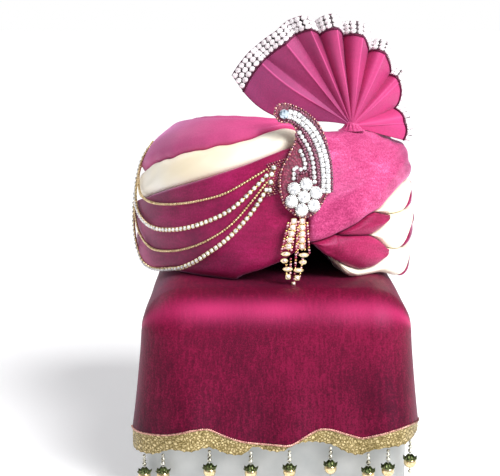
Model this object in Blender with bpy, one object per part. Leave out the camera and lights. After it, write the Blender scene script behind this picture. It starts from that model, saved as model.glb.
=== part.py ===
# A groom's turban, tied and stitched in its form, on the plain white block that displays it.
# The velvet tail comes forward from under the turban and hangs down the block's front face.
# Metres, +Z up. The block stands on z = 0, the turban's middle is over the origin and -Y faces
# the viewer. Angles on the turban are in degrees from its own front, positive to the viewer's
# right. A station is a share of the way along the outer profile, from the rim to the crown.

import math

import bmesh
import bpy
import numpy as np

# Clearances
gap = 0.0003                  # between two pieces that touch
cap_clearance = 0.0015        # between the cap and what is wound on it
tail_clearance = 0.0006       # between the tail and the block's round edges

# Display block
block_width = 0.220
block_depth = 0.332
block_height = 0.172
block_front = -0.186          # y of its front face
block_round = 0.034
block_round_steps = 5

# Tail
tail_thickness = 0.002
tail_back = 0.112             # y of its hidden end under the turban
tail_curl = 84.0              # how far its sides curl round the block's edges, in degrees
tail_flat_steps = 13
tail_curl_steps = 5
tail_drop = 0.078             # from the foot of the fold to the lace, before the wave
hem_wave_depth = 0.0065
hem_standoff = 0.006          # how far the hem stands off the block's face
hem_ripple = 0.007            # depth of the loose folds at the hem
tail_top_rows = (1.0, 0.4)    # shares of the way back from the fold
tail_front_rows = (0.3, 0.6, 0.85, 1.0)  # shares of the way down to the hem
lace_width = 0.0090
lace_thickness = 0.0026
lace_edge_depth = 0.008

# Bead drops
drop_length = 0.029
drop_ball = 0.0104
drop_sides = 10
drop_neck = 0.2               # what has to clear the lace, as a share of the ball's radius

# Fitted cap
cap_width = 0.166
cap_length = 0.206
cap_height = 0.092
cap_wall = 0.003
cap_columns = 36
cap_rows = (0.0, 0.45, 0.75, 1.0)  # shares of the way up from the rim

# Turban
turban_width = 0.259
turban_length = 0.284
turban_height = 0.1125
turban_turn = 14.0            # the front points this far to the viewer's right, in degrees
front_rise = 0.014            # how much higher the front rises than the middle
side_rise = 0.004             # how much higher the right side rises
puff_height = 0.0253          # extra height of the puffed left half
puff_reach = 0.105
puff_centre = (-0.040, -0.030)
puff_edge = (0.004, 0.046)    # x where the puff starts to fall, and where it has fallen
puff_fall = 0.85              # share of the puff that is gone there
puff_stretch = 1.25           # its length over its width
puff_power = 3                # it grows with this power of the height
rim_sag = (0.007, 0.014)      # of the rim to the left and right, where it overhangs the block
sag_inset = 0.022             # from the block's side in to where the sag starts
sag_reach = 0.034             # from there out to where it is full
sag_power = 4                 # it fades with this power of the height left
crease_depth = 0.005
crease_reach = 0.009
crease_limit = 0.2            # deepest crease, as a share of the depth there
crease_column = 0.35          # place of the column that holds an end's crease, in columns
front_wrap_lift = 0.0025
cream_sink = 0.001
crown_station = 0.87
inner_step = 0.11             # stations between the rows that follow the cap
edge_gap_share = 0.75         # share of the gap kept on each side of a slanted edge
wrap_rows = (0.0, 0.08, 0.30, 0.70, 0.92, 1.0)  # shares of a piece's height
left_columns = 26             # columns of the three bands on the left
right_columns = 20            # columns of the front wrap past the folds
fold_columns = 4              # columns of a cream fold past the velvet one
rear_columns = (16, 16, 18)
crown_columns = 26

# Fan and knot
fan_radius = 0.1024
fan_thickness = 0.0026
trim_width = 0.0145
trim_thickness = 0.0034
fan_rows = (0.0, 0.2, 0.45, 0.7, 1.0)  # shares of the way from the knot to the edge
knot_width = 0.017
knot_height = 0.0076
knot_sides = 12
knot_place = (28.5, 0.825)    # angle and station

# Brooch
kalgi_width = 0.0466
kalgi_height = 0.096
kalgi_thickness = 0.0024
kalgi_lean = 12.0             # leans back by this many degrees
kalgi_sink = 0.0009           # the wraps lie this much inside the smooth form there
kalgi_place = (-5.0, 0.489)   # angle and station behind the flower's middle
outer_row_width = 0.0080
single_row_width = 0.0036
row_height = 0.0018
flower_stone = 0.0094
flower_stone_height = 0.0042
stone_sides = 8
flower_ring = 0.0112
petal_count = 6
tip_stone = 0.0070
tip_stone_height = 0.0034
pendant_width = 0.024
pendant_thickness = 0.0045
pendant_foot = 0.0012         # height of its tip above the tail
pendant_taper = 0.8           # its front face as a share of its back

# Chains
gold_chain = 0.0024
stone_chain = 0.0036
chain_step = 0.0125
joint_place = (-15.4, 1.25)   # middle angle and half its width, in degrees
joint_stations = (0.50, 0.615)
joint_thickness = 0.0028
hook_place = (-111.5, 1.1)
hook_stations = (0.59, 0.715)

turban_base = block_height + tail_clearance + tail_thickness + gap

# Outer and inner form of the turban, as shares of the half sizes and heights.
# Columns: outer radius, outer height, cap radius, cap height
turban_profile = np.array([
    (0.760, 0.000, 1.000, 0.000),
    (0.910, 0.000, 1.000, 0.060),
    (0.965, 0.030, 1.000, 0.140),
    (0.990, 0.120, 1.000, 0.240),
    (1.000, 0.250, 1.000, 0.360),
    (1.000, 0.380, 0.995, 0.470),
    (0.990, 0.520, 0.980, 0.580),
    (0.970, 0.660, 0.955, 0.680),
    (0.940, 0.770, 0.910, 0.770),
    (0.875, 0.880, 0.840, 0.850),
    (0.780, 0.955, 0.750, 0.910),
    (0.660, 0.985, 0.650, 0.950),
    (0.550, 0.975, 0.550, 0.975),
    (0.450, 0.940, 0.450, 0.985),
])

# Crown inside that. Columns: radius share, outer height share, cap height share
crown_profile = np.array([
    (0.54, 0.972, 0.976),
    (0.38, 0.925, 0.990),
    (0.20, 0.905, 0.997),
])
crown_middle = (0.900, 1.000)  # outer and cap height shares at the middle

# Edges of the wound pieces. Columns: angle, station
rim_edge = [(-180, 0.0), (-36, 0.0), (-30, 0.07), (-27, 0.128), (-18, 0.175), (-11, 0.216),
            (-4, 0.276), (-1, 0.284), (3, 0.241), (8, 0.201), (11, 0.158), (15, 0.11),
            (19, 0.05), (24, 0.0), (180, 0.0)]
sash_low_edge = [(-180, 0.41), (-110, 0.43), (-83, 0.466), (-69, 0.499), (-56, 0.531),
                 (-43, 0.566), (-27, 0.619), (-18, 0.657), (-8, 0.699), (0, 0.725)]
sash_high_edge = [(-180, 0.54), (-120, 0.565), (-91, 0.596), (-80, 0.628), (-67, 0.649),
                  (-54, 0.675), (-39, 0.699), (-25, 0.734), (-12, 0.796), (0, 0.832)]
front_low_edge = [(-6, 0.287), (-1, 0.297), (3, 0.308), (9, 0.334), (15, 0.361), (21, 0.396),
                  (27, 0.418), (33, 0.457), (42, 0.499), (52, 0.522), (70, 0.528),
                  (110, 0.505), (180, 0.480)]
first_fold_edge = [(20, 0.402), (24.5, 0.408), (29, 0.399), (34, 0.388), (42, 0.388),
                   (60, 0.392), (90, 0.386), (180, 0.350)]
second_fold_edge = [(4, 0.323), (10, 0.319), (16, 0.312), (22.5, 0.303), (28, 0.275),
                    (33.5, 0.240), (42, 0.232), (60, 0.232), (90, 0.224), (180, 0.200)]
first_petal_edge = [(4, 0.323), (10, 0.319), (16, 0.312), (22.5, 0.306), (27, 0.322),
                    (31, 0.348), (34.8, 0.381)]
second_petal_edge = [(6, 0.214), (8, 0.203), (14, 0.169), (20.5, 0.149), (26, 0.154),
                     (30.5, 0.183), (34.8, 0.227)]

# Angles where the pieces at the front start, meet and end
front_seam = -3.0             # the seam under the brooch
column_step = 4.2             # between the columns that the front pieces share
fold_tip = 34.8               # tips of the velvet folds, nine columns from the seam
fold_starts = (25.5, 23.6, 9.5)
petal_starts = (9.0, -1.5)
line_meets = (25.0, 7.5, 8.0)

# Slanted ends of the cream folds, as angles at the low edge, the middle and the high edge
first_fold_end = (47.0, 55.0, 62.0)
second_fold_end = (39.0, 51.0, 60.0)
third_fold_end = (42.0, 44.0, 57.0)

# Fan folds. Columns: angle from the viewer's right, cloth edge as a share of fan_radius, depth
# behind the knot as a share of fan_radius, and how far the fold sags in the middle, in degrees
fan_folds = np.array([
    (162.5, 0.970, 0.00, 12), (145, 0.935, -0.04, 3), (142, 0.905, 0.03, 0), (129, 0.895, -0.05, 0),
    (122, 0.915, 0.03, 0), (114, 0.900, -0.06, 0), (110, 0.815, 0.06, 0), (100, 0.837, -0.04, 0),
    (96, 0.753, 0.15, 0), (84, 0.763, 0.04, 0), (76, 0.640, 0.23, 0), (65, 0.675, 0.15, 0),
    (50, 0.540, 0.33, 0), (41, 0.560, 0.23, 0), (17, 0.420, 0.38, 0), (0, 0.485, 0.27, 0),
    (-17, 0.500, 0.31, 0),
])

# Loose folds at the hem. Columns: share of the depth, rate across the tail, start
hem_ripple_waves = [(0.5, 0.0, 0.5 * math.pi), (0.3, 9.0, 0.8), (0.2, 17.0, 0.0)]

# Hem and lace edge across the tail. Columns: share of the half width, share of the depth
hem_wave = [(-1.0, -0.6), (-0.8, 0.0), (-0.6, 1.0), (-0.5, 1.0), (-0.4, 0.2), (-0.17, -0.9),
            (0.0, -1.0), (0.1, -0.9), (0.2, 0.0), (0.32, 0.9), (0.38, 0.9), (0.53, 0.2),
            (0.62, -0.2), (0.72, 0.3), (0.82, 0.9), (0.94, 0.9), (1.0, 0.4)]
lace_wave = [(-1.0, -1.2), (-0.86, -0.8), (-0.76, 0.0), (-0.62, 0.0), (-0.5, 0.3), (-0.36, -0.4),
             (-0.24, -0.4), (-0.17, 0.3), (-0.08, 0.0), (0.03, 0.0), (0.12, 0.7), (0.31, 0.8),
             (0.41, 0.5), (0.51, -0.2), (0.6, -0.5), (0.7, 0.1), (0.78, 0.35), (0.87, 0.4),
             (1.0, 0.9)]
# Places of the drops, as shares of the half width
drop_places = (-0.93, -0.806, -0.49, -0.19, 0.09, 0.39, 0.665, 0.775, 0.92)

# Brooch outline along its spine. Columns: across and up as shares of the width and height,
# half width as a share of the width
kalgi_spine = np.array([
    (-0.04, -0.180, 0.02), (-0.03, -0.150, 0.16), (-0.02, -0.100, 0.29), (-0.01, 0.000, 0.40),
    (0.035, 0.145, 0.46), (0.120, 0.310, 0.39), (0.163, 0.470, 0.30), (0.120, 0.590, 0.225),
    (0.000, 0.675, 0.175), (-0.150, 0.722, 0.160), (-0.300, 0.735, 0.175), (-0.400, 0.732, 0.150),
    (-0.470, 0.728, 0.03),
])
# Middle lines of the stone rows, in the same shares
outer_row_line = [(0.43, 0.055), (0.425, 0.20), (0.41, 0.32), (0.375, 0.44), (0.29, 0.56),
                  (0.12, 0.665), (-0.03, 0.715), (-0.15, 0.738)]
inner_row_line = [(0.185, 0.135), (0.190, 0.22), (0.165, 0.36), (0.09, 0.47), (-0.03, 0.57)]
curl_row_line = [(-0.185, 0.190), (-0.180, 0.245), (-0.125, 0.280), (0.00, 0.280), (0.045, 0.320),
                 (0.025, 0.375), (-0.03, 0.42)]
tip_stone_place = (-0.325, 0.735)

# Line, width and number of sections of each row
stone_rows = {
    "kalgi_outer_row": (outer_row_line, outer_row_width, 16),
    "kalgi_inner_row": (inner_row_line, single_row_width, 10),
    "kalgi_curl_row": (curl_row_line, single_row_width, 12),
}

# What the brooch and the strands below it lie over: first and last angle, first and last
# station, and how many places are looked at each way
kalgi_cover = ((-25, 16), (0.30, crown_station), 50)
pendant_cover = ((-16, 8), (0.12, 0.45), 30)

# Chain routes over the turban, as angle and station
chain_routes = {
    "chain_1": (gold_chain, [(-17.4, 0.596), (-23, 0.559), (-31.5, 0.506), (-43, 0.469),
                             (-59, 0.446), (-69, 0.446), (-78, 0.459), (-86, 0.488),
                             (-93, 0.545), (-101, 0.630), (-109.8, 0.702)]),
    "chain_2": (stone_chain, [(-17.4, 0.572), (-21, 0.530), (-29.5, 0.441), (-40.5, 0.378),
                              (-52.5, 0.340), (-67, 0.333), (-76, 0.353), (-85, 0.391),
                              (-93, 0.445), (-101, 0.550), (-109.6, 0.674)]),
    "chain_3": (gold_chain, [(-17.4, 0.546), (-22, 0.478), (-29, 0.383), (-38, 0.308),
                             (-48.5, 0.255), (-62, 0.228), (-71, 0.237), (-79, 0.268),
                             (-88, 0.325), (-96, 0.415), (-102, 0.520), (-109.8, 0.645)]),
    "chain_4": (stone_chain, [(-17.4, 0.518), (-21, 0.450), (-29, 0.337), (-38, 0.250),
                              (-49.5, 0.172), (-59, 0.145), (-68, 0.138), (-77, 0.145),
                              (-86, 0.178), (-93, 0.250), (-100.5, 0.372), (-106, 0.480),
                              (-109.3, 0.603)]),
}

# Colours as linear RGB, roughness, metallic
finishes = {
    "velvet": ((0.30, 0.008, 0.085), 0.80, 0.0),
    "cream_satin": ((0.88, 0.80, 0.58), 0.50, 0.0),
    "lining": ((0.06, 0.010, 0.035), 0.90, 0.0),
    "gold_lace": ((0.42, 0.34, 0.07), 0.45, 0.6),
    "gold_metal": ((0.75, 0.50, 0.16), 0.30, 1.0),
    "clear_stone": ((0.85, 0.88, 0.90), 0.10, 0.2),
    "silver_bead": ((0.55, 0.56, 0.45), 0.25, 0.9),
    "white_board": ((0.78, 0.79, 0.80), 0.60, 0.0),
}


fine_steps = 400              # of a curve before its points are spread evenly


# Meshes and tables

def clear_scene():
    for old in list(bpy.data.objects):
        bpy.data.objects.remove(old, do_unlink=True)


def finish_material(name):
    material = bpy.data.materials.get(name)
    if material is None:
        colour, roughness, metallic = finishes[name]
        material = bpy.data.materials.new(name)
        material.use_nodes = True
        shader = material.node_tree.nodes["Principled BSDF"]
        shader.inputs["Base Color"].default_value = (*colour, 1.0)
        shader.inputs["Roughness"].default_value = roughness
        shader.inputs["Metallic"].default_value = metallic
    return material


def add_solid(name, vertices, faces, finish, smooth_angle=40.0):
    """A closed body from vertices and faces, turned so that its faces point out."""
    mesh = bpy.data.meshes.new(name)
    mesh.from_pydata([tuple(v) for v in vertices], [], faces)
    work = bmesh.new()
    work.from_mesh(mesh)
    bmesh.ops.recalc_face_normals(work, faces=work.faces)
    work.to_mesh(mesh)
    work.free()
    mesh.shade_smooth()
    mesh.set_sharp_from_angle(angle=math.radians(smooth_angle))
    mesh.materials.append(finish_material(finish))
    solid = bpy.data.objects.new(name, mesh)
    bpy.context.collection.objects.link(solid)
    return solid


def level_slopes(places, values):
    """Slopes that keep a smooth curve between its rows, level at each high and low point."""
    step = np.diff(places)
    rise = np.diff(values) / step
    before, after = rise[:-1], rise[1:]
    same_way = before * after > 0
    near = 2 * step[1:] + step[:-1]
    far = step[1:] + 2 * step[:-1]
    share = near / np.where(same_way, before, 1) + far / np.where(same_way, after, 1)
    middle = np.where(same_way, (near + far) / np.where(same_way, share, 1), 0)
    return np.r_[rise[0], middle, rise[-1]]


def smooth_table(table, x, level=False):
    """Value at x of a smooth curve through the rows (place, value) of a table."""
    places, values = np.asarray(table, float).T
    x = np.clip(x, places[0], places[-1])
    slopes = level_slopes(places, values) if level else np.gradient(values, places)
    row = np.clip(np.searchsorted(places, x, side="right") - 1, 0, len(places) - 2)
    step = places[row + 1] - places[row]
    s = (x - places[row]) / step
    return ((1 + 2 * s) * (1 - s) ** 2 * values[row] + s * (1 - s) ** 2 * step * slopes[row]
            + s * s * (3 - 2 * s) * values[row + 1] + s * s * (s - 1) * step * slopes[row + 1])


def smooth_line(points, count):
    """Points evenly spread along a smooth curve through the given points."""
    points = np.asarray(points, float)
    along = np.r_[0, np.cumsum(np.linalg.norm(np.diff(points, axis=0), axis=1))]
    fine = np.linspace(0, along[-1], fine_steps)
    curve = np.stack([smooth_table(np.c_[along, column], fine) for column in points.T], -1)
    length = np.r_[0, np.cumsum(np.linalg.norm(np.diff(curve, axis=0), axis=1))]
    spread = np.linspace(0, length[-1], count)
    return np.stack([np.interp(spread, length, column) for column in curve.T], -1)


def swept_solid(name, sections, finish, smooth_angle=40.0, first_row=0, end_faces=None):
    """A body from closed sections with the same number of points, closed at both ends.

    Where a section has a first row and a second row that runs back, the two walls between the
    rows are split the same way, so that the walls of two neighbours stay parallel.
    """
    sections = np.asarray(sections)
    count, size = sections.shape[:2]
    end_faces = end_faces or [tuple(range(size))]
    faces = [face for face in end_faces]
    faces += [tuple(i + (count - 1) * size for i in face[::-1]) for face in end_faces]
    for k in range(count - 1):
        here, there = k * size, (k + 1) * size
        for i in range(size):
            j = (i + 1) % size
            if first_row and i == first_row - 1:
                faces.append((here + i, there + i, there + j))
                faces.append((here + i, there + j, here + j))
            elif first_row and i == size - 1:
                faces.append((here + i, there + i, here + j))
                faces.append((here + j, there + i, there + j))
            else:
                faces.append((here + i, there + i, there + j, here + j))
    return add_solid(name, sections.reshape(-1, 3), faces, finish, smooth_angle)


def strip_faces(first_shares, second_shares):
    """Triangles between two rows of a section, where the second row runs back to the start."""
    size = len(first_shares) + len(second_shares)
    faces = []
    i = j = 0
    while i < len(first_shares) - 1 or j < len(second_shares) - 1:
        last = i == len(first_shares) - 1
        if not last and (j == len(second_shares) - 1 or first_shares[i + 1] <= second_shares[j + 1]):
            faces.append((i, i + 1, size - 1 - j))
            i += 1
        else:
            faces.append((i, size - 2 - j, size - 1 - j))
            j += 1
    return faces


def ring_solid(name, first_pole, rings, last_pole, finish, smooth_angle=40.0):
    """A body from closed rings stacked between two poles."""
    rings = np.asarray(rings)
    count, size = rings.shape[:2]
    vertices = np.vstack([rings.reshape(-1, 3), [first_pole], [last_pole]])
    first, last = count * size, count * size + 1
    faces = []
    for i in range(size):
        j = (i + 1) % size
        faces.append((first, j, i))
        faces.append((last, (count - 1) * size + i, (count - 1) * size + j))
        for k in range(count - 1):
            faces.append((k * size + i, k * size + j, (k + 1) * size + j, (k + 1) * size + i))
    return add_solid(name, vertices, faces, finish, smooth_angle)


def sheet_solid(name, front, back, finish, smooth_angle=40.0):
    """A thin body between a front grid and a back grid of the same shape."""
    rows, columns = front.shape[:2]
    index = np.arange(rows * columns).reshape(rows, columns)
    corners = np.stack([index[:-1, :-1], index[:-1, 1:], index[1:, 1:], index[1:, :-1]], -1)
    corners = corners.reshape(-1, 4)
    border = np.r_[index[0, :-1], index[:-1, -1], index[-1, :0:-1], index[:0:-1, 0]]
    behind = rows * columns
    faces = corners.tolist() + (corners[:, ::-1] + behind).tolist()
    after = np.roll(border, -1)
    faces += np.stack([border, border + behind, after + behind, after], -1).tolist()
    vertices = np.vstack([front.reshape(-1, 3), back.reshape(-1, 3)])
    return add_solid(name, vertices, faces, finish, smooth_angle)


# Form of the turban

def profile_stations():
    steps = np.linalg.norm(np.diff(turban_profile[:, :2], axis=0), axis=1)
    along = np.r_[0, np.cumsum(steps)]
    return along / along[-1]


stations = profile_stations()


def oval(angle, half_width, half_length):
    """Plan radius of an oval at an angle from its front."""
    turn = np.radians(angle)
    return 1 / np.sqrt((np.sin(turn) / half_width) ** 2 + (np.cos(turn) / half_length) ** 2)


def on_plan(angle, radius, height):
    """Point at an angle from the turban's front, at a radius and a height above its base."""
    turn = np.radians(angle + turban_turn)
    return np.stack([radius * np.sin(turn), -radius * np.cos(turn), turban_base + height], -1)


def outer_point(angle, radius_share, height_share):
    """Point of the outer form, higher to the front and puffed over the left half."""
    angle, radius_share, height_share = np.broadcast_arrays(angle, radius_share, height_share)
    turn = np.radians(angle)
    radius = oval(angle, turban_width / 2, turban_length / 2) * radius_share
    tilt = radius_share * (front_rise * np.cos(turn) + side_rise * np.sin(turn))
    point = on_plan(angle, radius, height_share * (turban_height + tilt))
    away = ((point[..., 0] - puff_centre[0]) ** 2
            + ((point[..., 1] - puff_centre[1]) / puff_stretch) ** 2) / puff_reach ** 2
    fall = np.clip((point[..., 0] - puff_edge[0]) / (puff_edge[1] - puff_edge[0]), 0, 1)
    kept = 1 - puff_fall * fall * fall * (3 - 2 * fall)
    point[..., 2] += height_share ** puff_power * puff_height * np.exp(-away) * kept
    over = np.clip((np.abs(point[..., 0]) - block_width / 2 + sag_inset) / sag_reach, 0, 1)
    sag = np.where(point[..., 0] < 0, *rim_sag) * over * over * (3 - 2 * over)
    point[..., 2] -= sag * (1 - height_share) ** sag_power
    return point


def cap_point(angle, radius_share, height_share, inset=0.0):
    """Point of the cap's outer form, moved in by the inset."""
    angle, radius_share, height_share = np.broadcast_arrays(angle, radius_share, height_share)
    radius = oval(angle, cap_width / 2 - inset, cap_length / 2 - inset) * radius_share
    return on_plan(angle, radius, (cap_height - inset) * height_share)


def wound_outer(angle, station):
    shares = [smooth_table(np.c_[stations, turban_profile[:, k]], station, k == 1) for k in (0, 1)]
    return outer_point(angle, *shares)


def wound_inner(angle, station, inset=-cap_clearance):
    shares = [smooth_table(np.c_[stations, turban_profile[:, k]], station) for k in (2, 3)]
    return cap_point(angle, *shares, inset)


profile_length = float(np.sum(np.linalg.norm(np.diff(
    turban_profile[:, :2] * (turban_width / 2, turban_height), axis=0), axis=1)))


def surface_frame(angle, station):
    """Outer point with its outward normal there."""
    angle, station = np.broadcast_arrays(np.asarray(angle, float), np.asarray(station, float))
    step = 0.5
    along = wound_outer(angle + step, station) - wound_outer(angle - step, station)
    up = wound_outer(angle, station + step / 100) - wound_outer(angle, station - step / 100)
    normal = np.cross(along, up)
    normal /= np.linalg.norm(normal, axis=-1, keepdims=True)
    return wound_outer(angle, station), normal


# Stand and tail

def make_block():
    work = bmesh.new()
    bmesh.ops.create_cube(work, size=1.0)
    middle = block_front + block_depth / 2
    for vertex in work.verts:
        vertex.co.x *= block_width
        vertex.co.y = middle + vertex.co.y * block_depth
        vertex.co.z = (vertex.co.z + 0.5) * block_height
    base = [e for e in work.edges if max(v.co.z for v in e.verts) < block_height / 2]
    rounded = [e for e in work.edges if e not in base]
    bmesh.ops.bevel(work, geom=rounded, offset=block_round, offset_type="OFFSET",
                    segments=block_round_steps, profile=0.5, affect="EDGES")
    mesh = bpy.data.meshes.new("display_block")
    work.to_mesh(mesh)
    work.free()
    mesh.shade_smooth()
    mesh.set_sharp_from_angle(angle=math.radians(30))
    mesh.materials.append(finish_material("white_board"))
    bpy.context.collection.objects.link(bpy.data.objects.new("display_block", mesh))


tail_round = block_round + tail_clearance                  # inner radius of the tail's bends
tail_flat = block_width / 2 - block_round                  # half width before the sides curl
tail_half_width = tail_flat + (tail_round + tail_thickness) * math.sin(math.radians(tail_curl))


def tail_columns():
    """Places across the tail, as the flat half width to each side and then the curl's angle."""
    flat = np.linspace(-1, 1, tail_flat_steps + 1) * tail_flat
    curl = np.linspace(0, tail_curl, tail_curl_steps + 1)[1:]
    across = np.r_[np.full(tail_curl_steps, -tail_flat), flat, np.full(tail_curl_steps, tail_flat)]
    bend = np.r_[-curl[::-1], np.zeros(tail_flat_steps + 1), curl]
    return across, bend


def hem_share(across, bend):
    """Share of the tail's half width at a place across it."""
    return (across + (tail_round + tail_thickness) * np.sin(np.radians(bend))) / tail_half_width


def tail_point(across, bend, turn, back, drop, offset):
    """Point of the tail at a turn round the front fold, moved back or dropped along its run."""
    reach = tail_round + offset
    lift = reach * np.cos(np.radians(bend))
    x = across + reach * np.sin(np.radians(bend))
    y = block_front + block_round - lift * np.sin(np.radians(turn)) + back
    z = block_height - block_round + lift * np.cos(np.radians(turn)) - drop
    return np.stack(np.broadcast_arrays(x, y, z), -1)


def ripple(share, down):
    """How far the front stands off the block, growing towards the hem in loose folds."""
    waves = sum(part * np.sin(rate * share + start) for part, rate, start in hem_ripple_waves)
    return down ** 1.5 * (hem_standoff + hem_ripple * waves)


def hem_drop(share):
    return tail_drop - hem_wave_depth * smooth_table(hem_wave, share)


def lace_drop(share):
    middle = tail_drop + hem_wave_depth / 2 + lace_width
    return middle - lace_edge_depth * smooth_table(lace_wave, share)


def make_tail():
    across, bend = tail_columns()
    share = hem_share(across, bend)
    run = tail_back - (block_front + block_round)
    sides = {"front": tail_thickness, "back": 0.0}
    grids = {}
    for side, offset in sides.items():
        rows = [tail_point(across, bend, 0.0, run * k, 0.0, offset) for k in tail_top_rows]
        rows += [tail_point(across, bend, turn, 0.0, 0.0, offset)
                 for turn in np.linspace(0, 90, block_round_steps + 1)]
        for down in tail_front_rows:
            drop = down * hem_drop(share)
            rows.append(tail_point(across, bend, 90.0, 0.0, drop, offset + ripple(share, down)))
        grids[side] = np.array(rows)
    sheet_solid("tail_cloth", grids["front"], grids["back"], "velvet")

    grids = {}
    for side, offset in {"front": lace_thickness, "back": 0.0}.items():
        rows = []
        for down in (0.0, 1.0):
            drop = hem_drop(share) + gap + down * (lace_drop(share) - hem_drop(share))
            rows.append(tail_point(across, bend, 90.0, 0.0, drop, offset + ripple(share, 1.0)))
        grids[side] = np.array(rows)
    sheet_solid("tail_lace", grids["front"], grids["back"], "gold_lace")


def lace_foot(share):
    """The lace's lower edge between the tail's columns, where it is straight."""
    columns = hem_share(*tail_columns())
    return np.interp(share, columns, lace_drop(columns))


def make_drops():
    """Turned bead drops: two small beads, a leaf cap, a ball and a tip bead."""
    ball = drop_ball / 2
    # Columns: share of the length from the top, radius as a share of the ball's
    profile = [(0.06, 0.36), (0.17, 0.15), (0.27, 0.38), (0.36, 0.16), (0.48, 0.82), (0.66, 1.00),
               (0.86, 0.42)]
    turn = np.linspace(0, 2 * math.pi, drop_sides, endpoint=False)
    for number, place in enumerate(drop_places, 1):
        x = place * tail_half_width
        side = max(abs(x) - tail_flat, 0.0)
        bend = math.degrees(math.asin(side / (tail_round + tail_thickness))) * math.copysign(1, x)
        across = math.copysign(min(abs(x), tail_flat), x)
        share = hem_share(across, bend)
        hang = ripple(share, 1.0) + lace_thickness / 2
        neck = np.array([-1, 0, 1]) * drop_neck * ball / tail_half_width
        low = lace_foot(share + neck).max()
        top = tail_point(across, bend, 90.0, 0.0, low + gap, hang)
        rings = [top + np.stack([r * ball * np.cos(turn), r * ball * np.sin(turn),
                                 np.full(drop_sides, -d * drop_length)], -1) for d, r in profile]
        ring_solid(f"bead_drop_{number}", top, rings, top - (0, 0, drop_length), "silver_bead", 60)


# Wound pieces

def edge(table):
    return lambda angle: smooth_table(table, angle, level=True)


def lower_of(first, second):
    return lambda angle: np.minimum(first(angle), second(angle))


def even_columns(count):
    """Columns spread from a piece's start to its end, with one more close to each end."""
    share = np.linspace(0, 1, count + 1)
    share = np.r_[0, crease_column * share[1], share[1:-1], 1 - crease_column * share[1], 1]
    return np.full(len(share), np.nan), share


def front_columns(start, tip=True, count=0):
    """Columns on the angles that all the front pieces share, then evenly on to the piece's end."""
    shared = np.append(np.arange(front_seam, fold_tip - column_step / 2, column_step), fold_tip)
    shared = shared[shared > start + column_step / 4]
    if tip:
        base = np.r_[np.nan, start + crease_column * (shared[0] - start), shared[:-1], np.nan]
        return base, np.r_[np.zeros(len(base) - 1), 1]
    share = np.linspace(0, 1, count + 1)[1:]
    share = np.r_[share[:-1], 1 - crease_column * share[0], 1]
    crease = start + crease_column * (shared[0] - start)
    base = np.r_[np.nan, crease, shared, np.full(len(share), fold_tip)]
    return base, np.r_[np.zeros(len(base) - len(share)), share]


def make_wrap(name, low, high, start, end, columns, finish, lift=0.0):
    """A padded piece between two edges, from the cap out to the turban's outer form.

    Low and high give stations from angles. Start and end are angles, or three of them, at the
    low edge, the middle and the high edge. Columns give an angle each, or nan for the start, and
    a share of the way from it to the end.
    """
    angle_gap = math.degrees(gap / cap_width)         # the gap where the cap is narrowest
    station_gap = edge_gap_share * gap / profile_length
    way = math.copysign(1, np.mean(end) - np.mean(start))
    base, share_on = (np.array(column)[:, None] for column in columns)

    def grid(shares):
        first, last = [np.interp(shares, (0, 0.5, 1), np.broadcast_to(ends, 3)) for ends in (start, end)]
        first = first + way * angle_gap
        last = last - way * angle_gap
        angle = np.where(np.isnan(base), first, base)
        angle = angle + share_on * (last - angle)
        bottom = low(angle) + station_gap
        top = high(angle) - station_gap
        return angle, bottom + shares * (top - bottom), top - bottom

    shares = np.array(wrap_rows)
    angle, station, height = grid(shares)
    inner = wound_inner(angle, station)
    outer = wound_outer(angle, station)
    edge_distance = np.minimum(shares, 1 - shares) * height * profile_length
    end_distance = np.minimum(np.abs(angle - angle[0]), np.abs(angle[-1] - angle))
    end_distance = np.radians(end_distance) * turban_width / 2
    dip = crease_depth * np.clip(1 - edge_distance / crease_reach, 0, 1) ** 2
    dip += crease_depth / 2 * np.clip(1 - end_distance / crease_reach, 0, 1) ** 2
    ray = outer - inner
    depth = np.linalg.norm(ray, axis=-1)
    dip = np.minimum(dip, crease_limit * depth)
    outer = outer + ray * ((lift - dip) / depth)[..., None]
    slanted = np.ndim(start) or np.ndim(end)
    inner_rows = 3 if slanted else max(math.ceil(np.max(height) / inner_step), 2) + 1
    inner_shares = np.linspace(0, 1, inner_rows)
    inner = wound_inner(*grid(inner_shares)[:2])
    swept_solid(name, np.concatenate([outer, inner[:, ::-1]], axis=1), finish,
                first_row=len(shares), end_faces=strip_faces(shares, inner_shares))


def make_cap():
    angle = np.linspace(-180, 180, cap_columns, endpoint=False)
    rim = smooth_table(rim_edge, angle, level=True) + 2 * gap / profile_length
    rings = []
    for inset, order in ((cap_wall, cap_rows[::-1]), (0.0, cap_rows)):
        rings += [wound_inner(angle, rim + share * (1 - rim), inset) for share in order]
    poles = [on_plan(0.0, 0.0, cap_height - inset) for inset in (cap_wall, 0.0)]
    ring_solid("cap", poles[0], rings, poles[1], "lining")


def make_crown():
    angle = np.linspace(-180, 180, crown_columns, endpoint=False)
    station = crown_station + gap / profile_length
    rise = 2 * cap_clearance
    rings = [cap_point(angle, share, height, -rise) for share, _, height in crown_profile[::-1]]
    inner = wound_inner(angle, station, -rise)
    outer = wound_outer(angle, station)
    ray = (outer - inner) / np.linalg.norm(outer - inner, axis=-1, keepdims=True)
    rings += [inner, outer - ray * crease_depth]
    rings += [outer_point(angle, share, height) for share, height, _ in crown_profile]
    top, bottom = crown_middle
    first = cap_point(0.0, 0.0, bottom, -rise)
    ring_solid("crown", first, rings, outer_point(0.0, 0.0, top), "velvet")


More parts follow.
